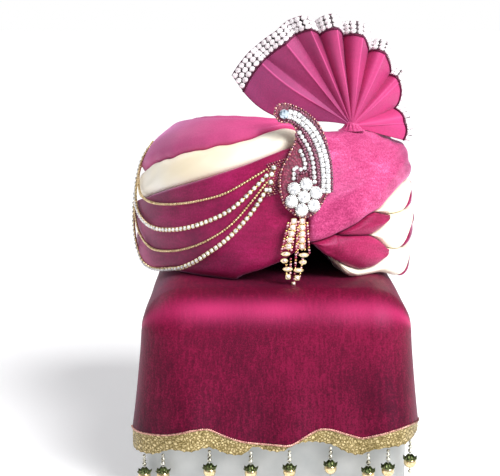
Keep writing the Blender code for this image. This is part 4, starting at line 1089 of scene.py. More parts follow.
# Each drop: three small beads, a ring of pointed leaves that curl out, a ball and a tip bead.
# A leaf is a grid whose width falls as 1 - t^2.2 and whose height falls and flares with t.
def makeDrops():
    look = dropLook
    names = [f"bead_drop_{number + 1}" for number in range(look["count"])]
    boxes = [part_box(name) for name in names]
    tops = np.array([((low.x + high.x) / 2, (low.y + high.y) / 2, high.z) for low, high in boxes])
    up = np.array([0, 0, 1.0])
    beads = np.concatenate([tops - up * below for below, _ in look["beads"]])
    sizes = np.repeat([radius for _, radius in look["beads"]], len(tops))
    addPiece("dropBeads", *copies(beadShape(12, 7), beads, np.stack([sizes] * 3, -1)), agedSilver,
             slot="silver_bead")
    below, half, radius = look["wire"]
    wires = copies(ringShape(roundOutline(8), [(1, -1), (1, 1)]), tops - up * below,
                   (radius, radius, half))
    addPiece("dropWires", *wires, agedSilver, slot="silver_bead")
    below, radius = look["ball"]
    addPiece("dropBalls", *copies(beadShape(20, 13, 0.96), tops - up * below, radius), paleGold,
             replaced=names, slot="silver_bead")

    rows, columns = look["leafGrid"]
    t, w = np.meshgrid(np.linspace(0, 1, rows), np.linspace(-1, 1, columns), indexing="ij")
    start, height = look["leafStart"]
    out = start + look["leafLength"] * t ** 0.8
    fall = -height - look["leafFall"] * np.sin(t * 2.2) + look["leafFlare"] * t ** 3
    wide = look["leafWidth"] * w * (1 - t ** 2.2) * (0.55 + 0.9 * t) + 1e-5 * w
    cup = fall - look["leafCup"] * (1 - w ** 2)
    leaves = []
    for number in range(look["leaves"]):
        turn = 2 * np.pi * number / look["leaves"] + look["leafTurn"]
        axis = np.array([math.cos(turn), math.sin(turn), 0])
        side = np.array([-math.sin(turn), math.cos(turn), 0])
        leaf = out[..., None] * axis + wide[..., None] * side + cup[..., None] * up
        leaf = leaf.reshape(-1, 3)
        both = np.concatenate([leaf, leaf - up * look["leafThickness"]])
        leaves.append((both, sheetFaces(rows, columns)))
    addPiece("dropLeaves", *copies(joined(*leaves), tops, 1.0), leafGreen, slot="silver_bead")


makeDrops()
print("bead drops made")


# Fan and its trim

fanLook = {
    "radius": 0.1024,
    "thickness": 0.0026,
    "clothShare": 0.35,           # half the cloth, as a share of the thickness of fan and pucker
    "foldsMeet": 0.36,            # where the folds meet, as a share of the knot's radius
    "pleatColumns": 24,
    "rows": 60,
    "ridgeWidth": 5,
    "ridgeReach": 0.030,
    "pressedRidge": 0.0010,
    "pucker": 0.0005,
    "puckerLength": 0.013,
    "panelBulge": 0.014,
    "panelRound": 0.055,
    "roundFrom": (4, 3),          # the column where panels begin to round, and over how many
    "pipingRadius": 0.0010,
}
trimLook = {
    "width": 0.0145,
    "points": 420,
    "rows": 7,
    "bandHalf": 0.0005,
    "pipingRadius": 0.0007,
    "pipingPoints": 380,
    "stoneColumns": 62,
    "stoneRows": 3,
    "stoneShare": 0.49,
    "cut": 0.62,
    # Seat above the band, height, and rings as shares of the half width and the height
    "cup": (0.0004, 0.0010, [(1.0, 0.0), (1.0, 0.6), (0.9, 1.0)]),
    "stone": (0.0009, 0.0022, [(0.96, 0.0), (0.98, 0.35), (0.72, 0.80), (0.40, 0.95)]),
}
knotLook = {
    "place": (28.5, 0.825),
    "width": 0.017,
    "height": 0.0076,
    "clothRadius": 0.008,
    "points": 132,
    "rows": 34,
    # Columns: share of the height, share of the half width
    "profile": [(0, 1.42), (0.12, 1.16), (0.3, 0.92), (0.5, 0.76), (0.75, 0.64), (0.9, 0.52), (1, 0.25)],
    "pleatDepth": 0.07,
    # Columns: share, pleats round the knot, twist in radians from foot to top
    "pleats": [(1.0, 13, 1.5), (0.5, 29, -2.0)],
}
# Folds of the fan. Columns: angle from the viewer's right, cloth edge and depth as shares of
# the radius, sag in degrees
fanFolds = np.array([
    (162.5, 0.970, 0.00, 12), (145, 0.940, -0.04, 3), (142, 0.930, 0.03, 0), (129, 0.900, -0.05, 0),
    (122, 0.913, 0.03, 0), (114, 0.890, -0.06, 0), (110, 0.815, 0.06, 0), (100, 0.837, -0.04, 0),
    (96, 0.753, 0.15, 0), (84, 0.763, 0.04, 0), (76, 0.640, 0.23, 0), (65, 0.675, 0.15, 0),
    (50, 0.540, 0.33, 0), (41, 0.560, 0.23, 0), (17, 0.420, 0.38, 0), (0, 0.485, 0.27, 0),
    (-17, 0.500, 0.31, 0)])


# Fold lines joined by panels, each fold rounded by a short running mean of the columns
def fanColumns():
    look = fanLook
    count = len(fanFolds)
    s = np.linspace(0, count - 1, look["pleatColumns"] * (count - 1) + 1)
    columns = np.stack([np.interp(s, np.arange(count), column) for column in fanFolds.T], -1)
    window = np.hanning(look["ridgeWidth"] + 2)[1:-1]
    padded = np.pad(columns, ((len(window) // 2,) * 2, (0, 0)), mode="reflect", reflect_type="odd")
    smooth = np.stack([np.convolve(c, window / window.sum(), "valid") for c in padded.T], -1)
    first, over = look["roundFrom"]
    later = np.clip((s - first) / over, 0, 1)
    # each later panel's edge is a shallow arc, and the broad panels are rolls
    smooth[:, 1] += look["panelBulge"] * later * np.abs(np.sin(np.pi * s))
    broad = np.floor(s) % 2 == 0
    smooth[:, 2] -= look["panelRound"] * later * np.where(broad, np.sin(np.pi * (s % 1)), 0)
    ridgeWay = np.abs(s % 2 - 1)                               # columns to the nearest ridge
    return smooth, ridgeWay


# Fan: radius along each column, depth in proportion, angle + sag * sin(pi * way)
def fanPoint(columns, radius, way, apex):
    turn = np.radians(columns[:, 0] + columns[:, 3] * np.sin(np.pi * way))
    depth = columns[:, 2] * fanLook["radius"] * way
    return apex + np.stack([radius * np.cos(turn), depth, radius * np.sin(turn)], -1)


# Trim: out from the cloth's edge, turned back by sqrt(1 - share^2) where the fan is turned away
def trimPoint(columns, out, apex):
    facing = np.clip(columns[:, 1], 0, 1)
    edgeRadius = columns[:, 1] * fanLook["radius"]
    radius = edgeRadius + gap + (out - gap) * facing
    point = fanPoint(columns, radius, radius / edgeRadius, apex)
    point[:, 1] += (out - gap) * np.sqrt(1 - facing ** 2)
    point[:, 1] -= columns[:, 2] * (radius - edgeRadius) / columns[:, 1]
    return point


# Normals of a grid, turned towards the viewer
def frontNormals(points):
    normal = gridNormals(points)
    return normal * np.where(normal[..., 1:2] > 0, -1, 1)


def makeFan():
    look = fanLook
    base, _ = surfaceFrame(*knotLook["place"])
    foot = base + (0, 0, form["frontLift"])
    apex = foot + (0, 0, knotLook["height"] / 2)
    columns, ridgeWay = fanColumns()
    edgeRadius = columns[:, 1] * look["radius"]
    near = knotLook["width"] / 2 * look["foldsMeet"]
    steps = np.linspace(0, 1, look["rows"])[:, None]
    radius = near + steps * (edgeRadius - near)
    middle = np.array([fanPoint(columns, r, r / edgeRadius, apex) for r in radius])
    normal = frontNormals(middle)
    turn = np.radians(columns[:, 0])
    pucker = look["pucker"] * np.sin(radius / look["puckerLength"] + 3 * np.sin(turn * 9)) * steps
    onRidge = np.exp(-(ridgeWay / look["ridgeReach"]) ** 2)
    pressed = look["pressedRidge"] * onRidge * np.clip(steps * 3, 0, 1)
    middle = middle + normal * (pucker + pressed)[..., None]
    half = normal * look["thickness"] * look["clothShare"]
    uv = np.stack([np.broadcast_to(travel(middle[-1]), radius.shape), radius], -1)
    cloth = sheetPiece("velvetFan", middle + half, middle - half, fanVelvet, uv, replaced=("fan",),
                       slot="velvet")
    # painted highlight on each ridge, and painted light growing from the left panels to the right
    addMark(cloth, "ridge", onRidge * np.clip(steps * 2.5, 0, 1))
    addMark(cloth, "lie", np.broadcast_to(np.linspace(0, 1, radius.shape[1]), radius.shape))
    # dark tube along the cloth's edge, standing for the shadow line between trim and velvet: painted
    # shade
    edgeLine = evenLine(middle[-1] + normal[-1] * look["pipingRadius"], trimLook["points"])
    piping = loftPiece("fanEdgeShade", tubeSections(edgeLine, look["pipingRadius"], 8), plumVelvet,
                       slot="velvet")
    makeTrim(columns, apex)
    makeKnot(foot)
    return cloth, (lineLength(middle[-1]), float(look["radius"])), piping


# Trim: a stiff band with rows of cut stones in square cups, evenly spaced along its middle
def makeTrim(columns, apex):
    look = trimLook
    low, high = [trimPoint(columns, out, apex) for out in (0.0006, look["width"])]
    length = travel((low + high) / 2)
    fine = np.linspace(0, length[-1], look["points"])
    lowFine, highFine = readLine(low, length, fine), readLine(high, length, fine)
    shares = np.linspace(0, 1, look["rows"])[:, None, None]
    band = lowFine + shares * (highFine - lowFine)
    half = frontNormals(band) * look["bandHalf"]
    uv = np.stack(np.broadcast_arrays(fine, shares[..., 0] * look["width"]), -1)
    sheetPiece("trimBand", band + half, band - half, trimBacking, uv, replaced=("fan_trim",),
               slot="clear_stone")
    for name, line in (("trimPipingOuter", highFine), ("trimPipingInner", lowFine)):
        tube = tubeSections(evenLine(line, look["pipingPoints"]), look["pipingRadius"], 6)
        loftPiece(name, tube, plumVelvet, slot="velvet")

    count, rows = look["stoneColumns"], look["stoneRows"]
    step = length[-1] / count
    places = (np.arange(count) + 0.5) / count * length[-1]
    low, high = readLine(low, length, places), readLine(high, length, places)
    up = unit(high - low)
    run = unit(np.gradient((low + high) / 2, axis=0))
    run = unit(run - up * np.sum(run * up, axis=1, keepdims=True))
    out = np.cross(run, up)
    flip = np.where(out[:, 1:2] > 0, -1, 1)
    frames = np.tile(np.stack([run * flip, up, out * flip], 1), (rows, 1, 1))
    share = (np.repeat(np.arange(rows), count) + 0.5)[:, None] / rows
    seats = np.tile(low, (rows, 1)) + share * np.tile(high - low, (rows, 1))
    half = (step * look["stoneShare"], look["width"] / rows * look["stoneShare"])
    for name, key, material in (("trimCups", "cup", silver), ("trimStones", "stone", trimStone)):
        seat, height, rings = look[key]
        shape = ringShape(cutSquare(look["cut"]), rings)
        addPiece(name, *copies(shape, seats + frames[:, 2] * seat, (*half, height), frames), material,
                 smooth=False, slot="clear_stone")


# Knot: the cloth drawn together, its foot flaring out over the wrap below:
# radius * (1 + depth * the sum of share * sin(pleats * angle + twist * height))
def makeKnot(foot):
    look = knotLook
    turn = np.linspace(0, 2 * np.pi, look["points"], endpoint=False)
    t = np.linspace(0, 1, look["rows"])[:, None]
    radius = smoothTable(look["profile"], t) * look["width"] / 2
    pleats = 0.0
    for share, count, twist in look["pleats"]:
        pleats = pleats + share * np.sin(count * turn + twist * t)
    kept = np.sin(np.pi * np.clip(t + 0.12, 0, 1))
    rings = radius * (1 + look["pleatDepth"] * pleats * kept)
    height = np.broadcast_to(t * look["height"], rings.shape)
    points = foot + np.stack([rings * np.cos(turn), rings * np.sin(turn), height], -1)
    uv = np.stack(np.broadcast_arrays(turn * look["clothRadius"], height), -1)
    loftPiece("fanKnot", points, paintedLitVelvet, uv, replaced=("knot",), slot="velvet")


fanPiece, fanFlatSize, fanEdgeShadePiece = makeFan()
print("fan and trim made")


# Brooch

broochLook = {
    "width": 0.0466,
    "height": 0.096,
    "thickness": 0.0024,
    "edgeShare": 0.72,            # thickness at the plate's edge, as a share of the middle's
    "lean": 12.0,
    "sink": 0.0009,
    "place": (-5.0, 0.489),
    "seatAngles": (-25, 16),      # the part of the turban that the plate may touch
    "seatStations": (0.30, 0.87),
    "rowPitch": 1.03,
    # Seat above the plate, height, share of the stone's size, and rings of the cut
    "cup": (0.0, 0.0016, 1.0, [(1.0, 0.0), (1.06, 0.3), (1.0, 0.6)]),
    "stone": (0.0008, 0.0017, 0.96, [(0.88, 0.0), (0.94, 0.35), (0.60, 0.85), (0.34, 1.0)]),
    "flowerStone": 0.0102,
    "flowerHeight": 0.0042,
    "flowerRing": 0.0109,
    "petals": 6,
    "flowerTurn": 78.0,
    "grains": 20,
    "grain": 0.00075,
    "tipStone": (0.0042, 0.0034),
    "tipPlace": (-0.310, 0.722),
    "beadPitch": 0.0023,
    "edgeLength": 0.245,
    "edgeBead": 0.00120,
    "fieldBead": 0.00135,
}
# Plate's middle line. Columns: across, up, half width, as shares of the width and the height
broochSpine = np.array([
    (-0.04, -0.180, 0.02), (-0.03, -0.150, 0.16), (-0.02, -0.100, 0.29), (-0.01, 0.000, 0.40),
    (0.035, 0.145, 0.46), (0.120, 0.310, 0.39), (0.163, 0.470, 0.30), (0.120, 0.590, 0.225),
    (0.000, 0.675, 0.175), (-0.150, 0.722, 0.160), (-0.300, 0.735, 0.175), (-0.400, 0.732, 0.150),
    (-0.470, 0.728, 0.03)])
outerRowLine = [(0.395, 0.050), (0.402, 0.182), (0.388, 0.300), (0.345, 0.395), (0.270, 0.495),
                (0.155, 0.590), (0.010, 0.660), (-0.126, 0.705), (-0.210, 0.715)]
innerRowLine = [(0.207, 0.130), (0.200, 0.212), (0.190, 0.284), (0.165, 0.350), (0.128, 0.410),
                (0.075, 0.465), (0.005, 0.520), (-0.040, 0.560)]
curlRowLine = [(-0.173, 0.164), (-0.162, 0.215), (-0.144, 0.262), (-0.068, 0.243), (0.020, 0.245),
               (0.045, 0.290), (0.012, 0.345), (-0.035, 0.400)]
# Rows of set stones. Columns: line, shifts to each side of it, stone size, outline
broochRows = {
    "outer": (outerRowLine, (0.0026, -0.0016), 0.0041, cutSquare(0.30)),
    "inner": (innerRowLine, (0.0,), 0.0040, roundOutline(10)),
    "curl": (curlRowLine, (0.0,), 0.0037, roundOutline(10)),
}
beadStrings = [(outerRowLine, 0.0058), (outerRowLine, -0.0050), (innerRowLine, -0.0033),
               (innerRowLine, 0.0033), (curlRowLine, 0.0030)]


# Upright axes of something that hangs at an angle of the turban: to the right, and outwards
def facingAxes(angle):
    turn = math.radians(angle + form["turn"])
    right = np.array([math.cos(turn), math.sin(turn), 0.0])
    return right, np.array([math.sin(turn), -math.cos(turn), 0.0])


# Brooch's axes, leaned back, and an origin that just clears the cloth behind the plate
def broochFrame():
    look = broochLook
    origin, _ = surfaceFrame(*look["place"])
    lean = math.radians(look["lean"])
    right, facing = facingAxes(look["place"][0])
    upright = np.array([0, 0, 1.0])
    up = upright * math.cos(lean) - facing * math.sin(lean)
    out = facing * math.cos(lean) + upright * math.sin(lean)
    angle, station = np.meshgrid(np.linspace(*look["seatAngles"], 42),
                                 np.linspace(*look["seatStations"], 60))
    lift = np.where(angle > form["frontSeam"], form["frontLift"], 0.0)
    flat = woundOuter(angle, station) + out * lift[..., None] - origin
    inside = np.abs(flat @ right) < look["width"] / 2
    seat = (flat @ out)[inside].max() + gap - look["sink"]
    return origin + out * seat, np.stack([right, up, out])


broochOrigin, broochAxes = broochFrame()
broochSize = np.array([broochLook["width"], broochLook["height"]])


# Point on the brooch from metres across, up and out of its back face
def onBrooch(flat, out):
    flat = np.asarray(flat, float)
    right, up, outward = broochAxes
    return (broochOrigin + flat[..., :1] * right + flat[..., 1:2] * up
            + np.asarray(out, float)[..., None] * outward)


def flatLine(table, pitch, shift=0.0):
    fine = smoothLine(np.array(table) * broochSize, 300)
    run = unit(np.gradient(fine, axis=0))
    fine = fine + np.stack([run[:, 1], -run[:, 0]], -1) * shift
    count = max(int(round(lineLength(fine) / pitch)), 2)
    return evenLine(fine, count + 1)


def alongFrames(line):
    right, up, outward = broochAxes
    run = unit(np.gradient(line, axis=0))
    forward = run[:, :1] * right + run[:, 1:] * up
    sideways = -run[:, 1:] * right + run[:, :1] * up
    return np.stack([forward, sideways, np.broadcast_to(outward, forward.shape)], 1)


# Places along the plate's spine, and the way from each to the plate's side
def broochSides(shrink=0.0):
    spine = smoothLine(broochSpine, 120)
    place = spine[:, :2] * broochSize
    run = unit(np.gradient(place, axis=0))
    side = np.stack([run[:, 1], -run[:, 0]], -1) * (spine[:, 2:] * broochSize[0] - shrink)
    return place, side


def makeBrooch():
    look = broochLook
    thick = look["thickness"]
    place, side = broochSides()
    across = np.linspace(-1, 1, 15)
    edgeShare = look["edgeShare"]
    dome = thick * (edgeShare + (1 - edgeShare) * np.sqrt(np.clip(1 - across ** 2, 0, 1)))
    flat = place[:, None] + side[:, None] * across[None, :, None]
    sheetPiece("broochPlate", onBrooch(flat, dome), onBrooch(flat, 0.0), filigree, flat,
               replaced=("kalgi_plate",), slot="gold_metal")

    for name, (line, shifts, size, outline) in broochRows.items():
        lines = [flatLine(line, size * look["rowPitch"], shift) for shift in shifts]
        for part, key, material in (("Cups", "cup", silver), ("Stones", "stone", clearStone)):
            seat, height, share, rings = look[key]
            half = size / 2 * share
            rows = [copies(ringShape(outline, rings), onBrooch(points, thick + seat),
                           (half, half, height), alongFrames(points)) for points in lines]
            replaced = (f"kalgi_{name}_row",) if part == "Stones" else ()
            addPiece(name + "Row" + part, *joined(*rows), material, smooth=False, replaced=replaced,
                     slot="clear_stone")

    # flower and tip stone: brilliant cut stones, the flower's each in a ring of small grains
    angles = np.radians(look["flowerTurn"] + 360 / look["petals"] * np.arange(look["petals"]))
    petals = look["flowerRing"] * np.stack([np.cos(angles), np.sin(angles)], -1)
    flower = np.concatenate([[(0.0, 0.0)], petals])
    half = look["flowerStone"] / 2
    stones = copies(brilliantShape(12), onBrooch(flower, thick + gap),
                    (half, half, look["flowerHeight"]), np.tile(broochAxes, (len(flower), 1, 1)))
    addPiece("flowerStones", *stones, clearStone, smooth=False,
             replaced=[f"flower_stone_{n + 1}" for n in range(len(flower))], slot="clear_stone")
    turn = np.linspace(0, 2 * np.pi, look["grains"], endpoint=False)
    circle = (half + 0.0001) * np.stack([np.cos(turn), np.sin(turn)], -1)
    grains = onBrooch(flower[:, None] + circle, thick + 0.0012)
    addPiece("flowerGrains", *copies(beadShape(6, 3), grains, look["grain"]), silver,
             slot="clear_stone")
    half, height = look["tipStone"]
    tip = onBrooch(np.array([look["tipPlace"]]) * broochSize, thick + gap)
    addPiece("tipStone", *copies(brilliantShape(8), tip, (half, half, height), broochAxes[None]),
             blueStone, smooth=False, replaced=("kalgi_tip_stone",), slot="clear_stone")

    # strings of small beads: round the edge, between the rows and in the field
    place, side = broochSides(0.0004)
    loop = np.concatenate([place + side, (place - side)[::-1]])
    count = int(look["edgeLength"] / look["beadPitch"])
    outline = evenLine(np.concatenate([loop, loop[:1]]), count + 1)[:-1]
    rim = onBrooch(outline, thick * 0.75)
    strings = [flatLine(line, look["beadPitch"], shift) for line, shift in beadStrings]
    field = onBrooch(np.concatenate(strings), thick + 0.0008)
    for name, places, radius, material in (("edgeBeadsDark", rim[::2], look["edgeBead"], plumBead),
                                           ("edgeBeadsPale", rim[1::2], look["edgeBead"], roseGold),
                                           ("fieldBeads", field, look["fieldBead"], plumBead)):
        addPiece(name, *copies(beadShape(8, 4), places, radius), material, slot="gold_metal")


makeBrooch()
print("brooch made")


# Pendant strands under the brooch

# Millimetres from the top middle. Columns: across at the top and at the foot, down at the start
# and at the end, and the pitch of the stones or beads
pendantRows = [(-6.6, -11.0, 1.5, 22.8, 5.3), (0.5, 0.3, 1.8, 23.2, 5.35)]
pendantStrings = [
    (-3.0, -6.0, 2.5, 54.0, 2.3), (-11.4, -17.0, 3.0, 27.5, 2.2), (4.8, 6.8, 3.5, 30.0, 2.3),
    (-4.6, -8.4, 3.0, 26.0, 2.3), (2.6, 3.0, 3.0, 28.0, 2.3), (-9.6, -14.6, 3.5, 26.0, 2.3),
    (-1.8, -3.4, 3.0, 30.0, 2.3), (-9.0, -9.4, 33.5, 48.0, 2.4), (1.6, -1.4, 32.0, 49.0, 2.4),
    (-12.8, -12.6, 36.0, 47.0, 2.4)]
# Wide settings and the small stones at the foot. Columns: across, down, half width, half height
pendantBars = [(-13.4, 29.0, 4.0, 1.9), (2.0, 30.4, 4.2, 1.9), (-14.6, 34.8, 3.1, 2.1),
               (1.2, 36.4, 3.2, 2.1), (-11.6, 42.0, 4.2, 1.9), (-2.4, 43.2, 4.2, 1.9)]
pendantFoot = [(-11.4, 48.4, 2.1, 2.1), (-3.6, 49.6, 2.1, 2.1), (-6.6, 54.6, 1.6, 1.6)]
pendantLook = {
    "mainCup": (0.0023, 0.0023, 0.0018),
    "mainStone": (0.0021, 0.0021, 0.0019),
    "barDepth": 0.0016,
    "barStone": (0.66, 0.62, 1.2),            # as shares of its setting
    "footStone": 0.8,
    "stoneSeat": 0.0009,
    "barSeat": 0.0007,
    "link": (0.0027, 0.0011),                 # distance below its stone, radius
    "bead": 0.00110,
    "cup": ringShape(cutSquare(0.3), [(1.0, 0.0), (1.1, 0.4), (1.0, 0.7)]),
    "stone": ringShape(cutSquare(0.35), [(0.88, 0.0), (0.92, 0.35), (0.58, 0.85), (0.30, 1.0)]),
    "roundCup": ringShape(roundOutline(12), [(1.0, 0.0), (1.08, 0.4), (0.96, 0.8)]),
    "roundStone": ringShape(roundOutline(10), [(0.85, 0.0), (0.92, 0.35), (0.60, 0.85), (0.30, 1.0)]),
}


# Rows of set stones, strings of beads between them, wide settings and the foot
def makePendant():
    look = pendantLook
    low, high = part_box("pendant_strands")
    middle = np.array([(low.x + high.x) / 2, (low.y + high.y) / 2, high.z])
    right, facing = facingAxes(broochLook["place"][0])
    up = np.array([0, 0, 1.0])
    axes = np.stack([right, up, facing])

    def at(across, down):
        across, down = np.asarray(across, float), np.asarray(down, float)
        return middle + across[..., None] / 1000 * right - down[..., None] / 1000 * up

    def spaced(row):
        across0, across1, down0, down1, pitch = row
        down = down0 + pitch * np.arange(int((down1 - down0) / pitch) + 1)
        return at(across0 + (across1 - across0) * (down - down0) / (down1 - down0), down)

    def placed(shape, places, size):
        return copies(shape, places, size, np.tile(axes, (len(places), 1, 1)))

    mains = np.concatenate([spaced(row) for row in pendantRows])
    smalls = np.concatenate([spaced(row) for row in pendantStrings])
    across, down, width, height = np.array(pendantBars).T
    bars, barSize = at(across, down), np.stack([width / 1000, height / 1000,
                                                np.full(len(width), look["barDepth"])], -1)
    across, down, width, _ = np.array(pendantFoot).T
    feet, footSize = at(across, down), np.stack([width / 1000] * 3, -1)
    cups = joined(placed(look["cup"], mains, look["mainCup"]),
                  placed(look["roundCup"], bars, barSize), placed(look["cup"], feet, footSize))
    addPiece("pendantCups", *cups, paleGold, smooth=False, slot="clear_stone")
    seat = facing * look["stoneSeat"]
    stones = joined(placed(look["stone"], mains + seat, look["mainStone"]),
                    placed(look["roundStone"], bars + facing * look["barSeat"],
                           barSize * look["barStone"]),
                    placed(look["stone"], feet + seat, footSize * look["footStone"]))
    addPiece("pendantStones", *stones, creamStone, smooth=False, replaced=("pendant_strands",),
             slot="clear_stone")
    below, radius = look["link"]
    addPiece("pendantLinks", *copies(beadShape(8, 4), mains - up * below, radius), gold,
             slot="clear_stone")
    for first, (title, material) in enumerate((("Rose", rose), ("Dark", garnet), ("Gold", gold))):
        addPiece("pendantBeads" + title, *copies(beadShape(8, 4), smalls[first::3], look["bead"]),
                 material, slot="clear_stone")


makePendant()
print("pendant made")


# Chains

chainLook = {
    "goldBead": 0.00125,
    "goldPitch": 0.0027,
    "between": 0.0008,
    "cup": 0.0018,
    "cupPitch": 0.0048,
    "cupSink": 0.8,               # below the chain's middle, as a share of its radius
    "cupHeight": 0.0024,
    "stoneSeat": 0.0015,
    "stoneHeight": 0.0016,
    "link": 0.0010,
    "linkSink": 0.0006,
    "cupShape": ringShape(cutSquare(0.25), [(0.9, 0.0), (1.06, 0.45), (1.0, 0.75)]),
    "stoneShape": ringShape(roundOutline(8), [(0.85, 0.0), (0.92, 0.4), (0.60, 0.9), (0.3, 1.0)]),
}
# Routes over the turban: kind and thickness, then angle and station
chainRoutes = {
    "chain_1": ("gold", 0.0024, [(-17.4, 0.596), (-23, 0.559), (-31.5, 0.506), (-43, 0.469),
                                 (-59, 0.446), (-69, 0.446), (-78, 0.459), (-86, 0.488),
                                 (-93, 0.545), (-101, 0.630), (-109.8, 0.702)]),
    "chain_2": ("stone", 0.0036, [(-17.4, 0.572), (-21, 0.530), (-29.5, 0.441), (-40.5, 0.378),
                                  (-52.5, 0.340), (-67, 0.333), (-76, 0.353), (-85, 0.391),
                                  (-93, 0.445), (-101, 0.550), (-109.6, 0.674)]),
    "chain_3": ("gold", 0.0024, [(-17.4, 0.546), (-22, 0.478), (-29, 0.383), (-38, 0.308),
                                 (-48.5, 0.255), (-62, 0.228), (-71, 0.237), (-79, 0.268),
                                 (-88, 0.325), (-96, 0.415), (-102, 0.520), (-109.8, 0.645)]),
    "chain_4": ("stone", 0.0036, [(-17.4, 0.518), (-21, 0.450), (-29, 0.337), (-38, 0.250),
                                  (-49.5, 0.172), (-59, 0.145), (-68, 0.138), (-77, 0.145),
                                  (-86, 0.178), (-93, 0.250), (-100.5, 0.372), (-106, 0.480),
                                  (-109.3, 0.603)]),
}


# Beads or set stones at equal steps along a route on the turban's surface
def makeChains():
    look = chainLook
    for name, (kind, diameter, route) in chainRoutes.items():
        point, normal = surfaceFrame(*smoothLine(route, 500).T)
        line = point + normal * (diameter / 2 + gap)
        distances = travel(line)
        pitch = look["goldPitch"] if kind == "gold" else look["cupPitch"]
        spread = np.linspace(0, distances[-1], int(lineLength(line) / pitch) + 1)
        both = readLine(np.c_[line, normal], distances, spread)
        places, out = both[:, :3], unit(both[:, 3:])
        between = (places[1:] + places[:-1]) / 2
        run = unit(np.gradient(places, axis=0))
        side = unit(np.cross(out, run))
        frames = np.stack([run, side, np.cross(run, side)], 1)
        title = name.replace("_", "")
        if kind == "gold":
            addPiece(title + "Beads", *copies(beadShape(8, 5), places, look["goldBead"], frames),
                     chainGold, replaced=(name,), slot="gold_metal")
            addPiece(title + "Between", *copies(beadShape(6, 3), between, look["between"]), darkGold,
                     slot="gold_metal")
            continue
        cup = look["cup"]
        low = places - out * diameter / 2 * look["cupSink"]
        cups = copies(look["cupShape"], low, (cup, cup, look["cupHeight"]), frames)
        links = copies(beadShape(6, 3), between - out[1:] * look["linkSink"], look["link"])
        addPiece(title + "Cups", *joined(cups, links), paleGold, smooth=False, replaced=(name,),
                 slot="clear_stone")
        stones = copies(look["stoneShape"], low + out * look["stoneSeat"],
                        (cup, cup, look["stoneHeight"]), frames)
        addPiece(title + "Stones", *stones, clearStone, smooth=False, slot="clear_stone")


jointLook = {
    # Columns: angle, station
    "stones": [(-14.9, 0.602), (-15.6, 0.578), (-15.9, 0.548), (-16.3, 0.518)],
    "cupSize": (0.0021, 0.0021, 0.0022),
    "stoneSize": (0.001995, 0.001995, 0.0018),
    "stoneSeat": 0.0014,
    "cupShape": ringShape(cutSquare(0.3), [(1.0, 0.0), (1.08, 0.4), (1.0, 0.75)]),
    "stoneShape": ringShape(roundOutline(8), [(0.85, 0.0), (0.92, 0.4), (0.55, 0.9), (0.3, 1.0)]),
    "netAngles": (-17.2, -10.2, 9),
    "netStations": (0.505, 0.625, 15),
    "netStagger": 0.42,           # degrees that every second row is shifted
    "netRise": (0.012, -14.0, 3.5),           # stations gained, from an angle on, over an angle
    "netBead": 0.00085,
    "netSeat": 0.0010,
}


# Connector: a slanting run of set stones that the chains start from, and a net of fine beads
# towards the brooch
def makeJoint():
    look = jointLook
    angle, station = np.array(look["stones"]).T
    point, normal = surfaceFrame(angle, station)
    run = unit(surfaceFrame(angle + 1, station)[0] - point)
    frames = np.stack([run, np.cross(normal, run), normal], 1)
    base = point + normal * gap
    addPiece("jointCups", *copies(look["cupShape"], base, look["cupSize"], frames), paleGold,
             smooth=False, slot="clear_stone")
    stones = copies(look["stoneShape"], base + normal * look["stoneSeat"], look["stoneSize"], frames)
    addPiece("jointStones", *stones, clearStone, smooth=False, replaced=("chain_joint",),
             slot="clear_stone")
    angle, station = np.meshgrid(np.linspace(*look["netAngles"]), np.linspace(*look["netStations"]))
    angle = angle + np.where(np.arange(len(angle)) % 2, look["netStagger"], 0.0)[:, None]
    rise, first, over = look["netRise"]
    station = station + rise * (angle - first) / over
    point, normal = surfaceFrame(angle.ravel(), station.ravel())
    net = point + normal * look["netSeat"]
    for first, (title, material) in enumerate((("Dark", plumBead), ("Rose", roseGold))):
        addPiece("jointNet" + title, *copies(beadShape(6, 3), net[first::2], look["netBead"]),
                 material, slot="gold_metal")


makeChains()
makeJoint()
print("chains made")


# Nodes that stay as they are, with better materials
for name, material in (("cap", lining), ("chain_hook", gold)):
    nodes[name].data.materials.clear()
    nodes[name].data.materials.append(material)


# Floor, light and camera

stageLook = {
    "floor": (0.95, 0.95, 0.96),
    "floorGlow": 0.22,             # keeps the floor as white as the backdrop
    "floorReach": 30.0,
    "sky": 0.30,                   # what lights the piece; the backdrop itself is plain white
    "sun": 3.3,
    "sunFrom": (0.95, -0.90, 1.05),
    "sunSoftness": 38.0,           # degrees
    "key": (5.0, 0.35, (0.55, -0.8, 0.95)),   # power, size, place
    "rim": (3.0, 0.6, (-0.9, 0.5, 0.9)),
    "rimColour": (0.95, 0.93, 1.0),
}
cameraLook = {"distance": 1.2, "elevation": 10.0, "aim": (-0.022, 0.0, 0.1894), "lens": 90.9,
              "sensor": 36.0}


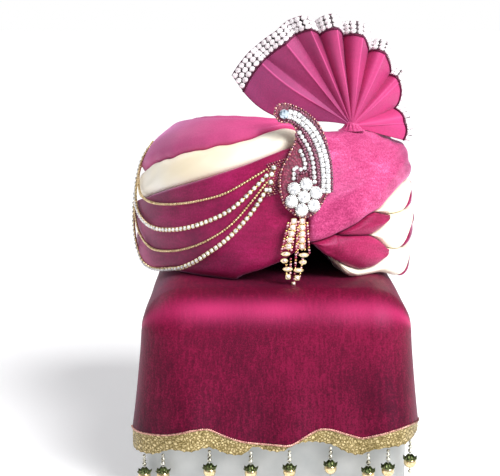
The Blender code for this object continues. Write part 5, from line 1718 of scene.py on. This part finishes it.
def makeStage():
    look = stageLook
    reach = look["floorReach"]
    mesh = bpy.data.meshes.new("paleFloor")
    corners = [(x * reach, y * reach, 0) for x, y in ((-1, -1), (1, -1), (1, 1), (-1, 1))]
    mesh.from_pydata(corners, [], [(0, 1, 2, 3)])
    white = (1.0, 1.0, 1.0, 1.0)
    material, *_ = newMaterial("paleFloor", Roughness=0.9, Base_Color=(*look["floor"], 1.0),
                               Emission_Color=white, Emission_Strength=look["floorGlow"])
    mesh.materials.append(material)
    piece = bpy.data.objects.new("paleFloor", mesh)
    bpy.context.scene.collection.objects.link(piece)
    world = bpy.data.worlds.new("studio")
    world.use_nodes = True
    seen = addNode(world.node_tree, "LightPath", {}).outputs["Is Camera Ray"]
    strength = addNode(world.node_tree, "MapRange",
                       {"Value": seen, "To Min": look["sky"], "To Max": 1.0})
    backdrop = world.node_tree.nodes["Background"]
    backdrop.inputs["Color"].default_value = white
    world.node_tree.links.new(strength.outputs["Result"], backdrop.inputs["Strength"])
    bpy.context.scene.world = world


# Light that looks at the turban's middle
def addLight(name, kind, power, size, place, colour=(1, 1, 1)):
    light = bpy.data.lights.new(name, kind)
    light.energy, light.color = power, colour
    if kind == "SUN":
        light.angle = math.radians(size)
    else:
        light.size = size
    lamp = bpy.data.objects.new(name, light)
    lamp.location = place
    aim = Vector(cameraLook["aim"]) - lamp.location
    lamp.rotation_euler = aim.to_track_quat("-Z", "Y").to_euler()
    bpy.context.scene.collection.objects.link(lamp)


def makeLights():
    look = stageLook
    sunPlace = np.array(cameraLook["aim"]) + look["sunFrom"]
    addLight("sunLight", "SUN", look["sun"], look["sunSoftness"], sunPlace)
    addLight("keyLight", "AREA", *look["key"])
    addLight("rimLight", "AREA", *look["rim"], look["rimColour"])


def makeCamera():
    look = cameraLook
    tilt = math.radians(look["elevation"])
    camera = bpy.data.cameras.new("photoCamera")
    camera.lens, camera.sensor_width = look["lens"], look["sensor"]
    viewer = bpy.data.objects.new("photoCamera", camera)
    aim = np.array(look["aim"])
    viewer.location = aim + look["distance"] * np.array([0, -math.cos(tilt), math.sin(tilt)])
    viewer.rotation_euler = (math.pi / 2 - tilt, 0, 0)
    bpy.context.scene.collection.objects.link(viewer)
    bpy.context.scene.camera = viewer


makeStage()
makeLights()
makeCamera()
bpy.context.scene.view_settings.view_transform = "Standard"
print("stage, lights and camera made")
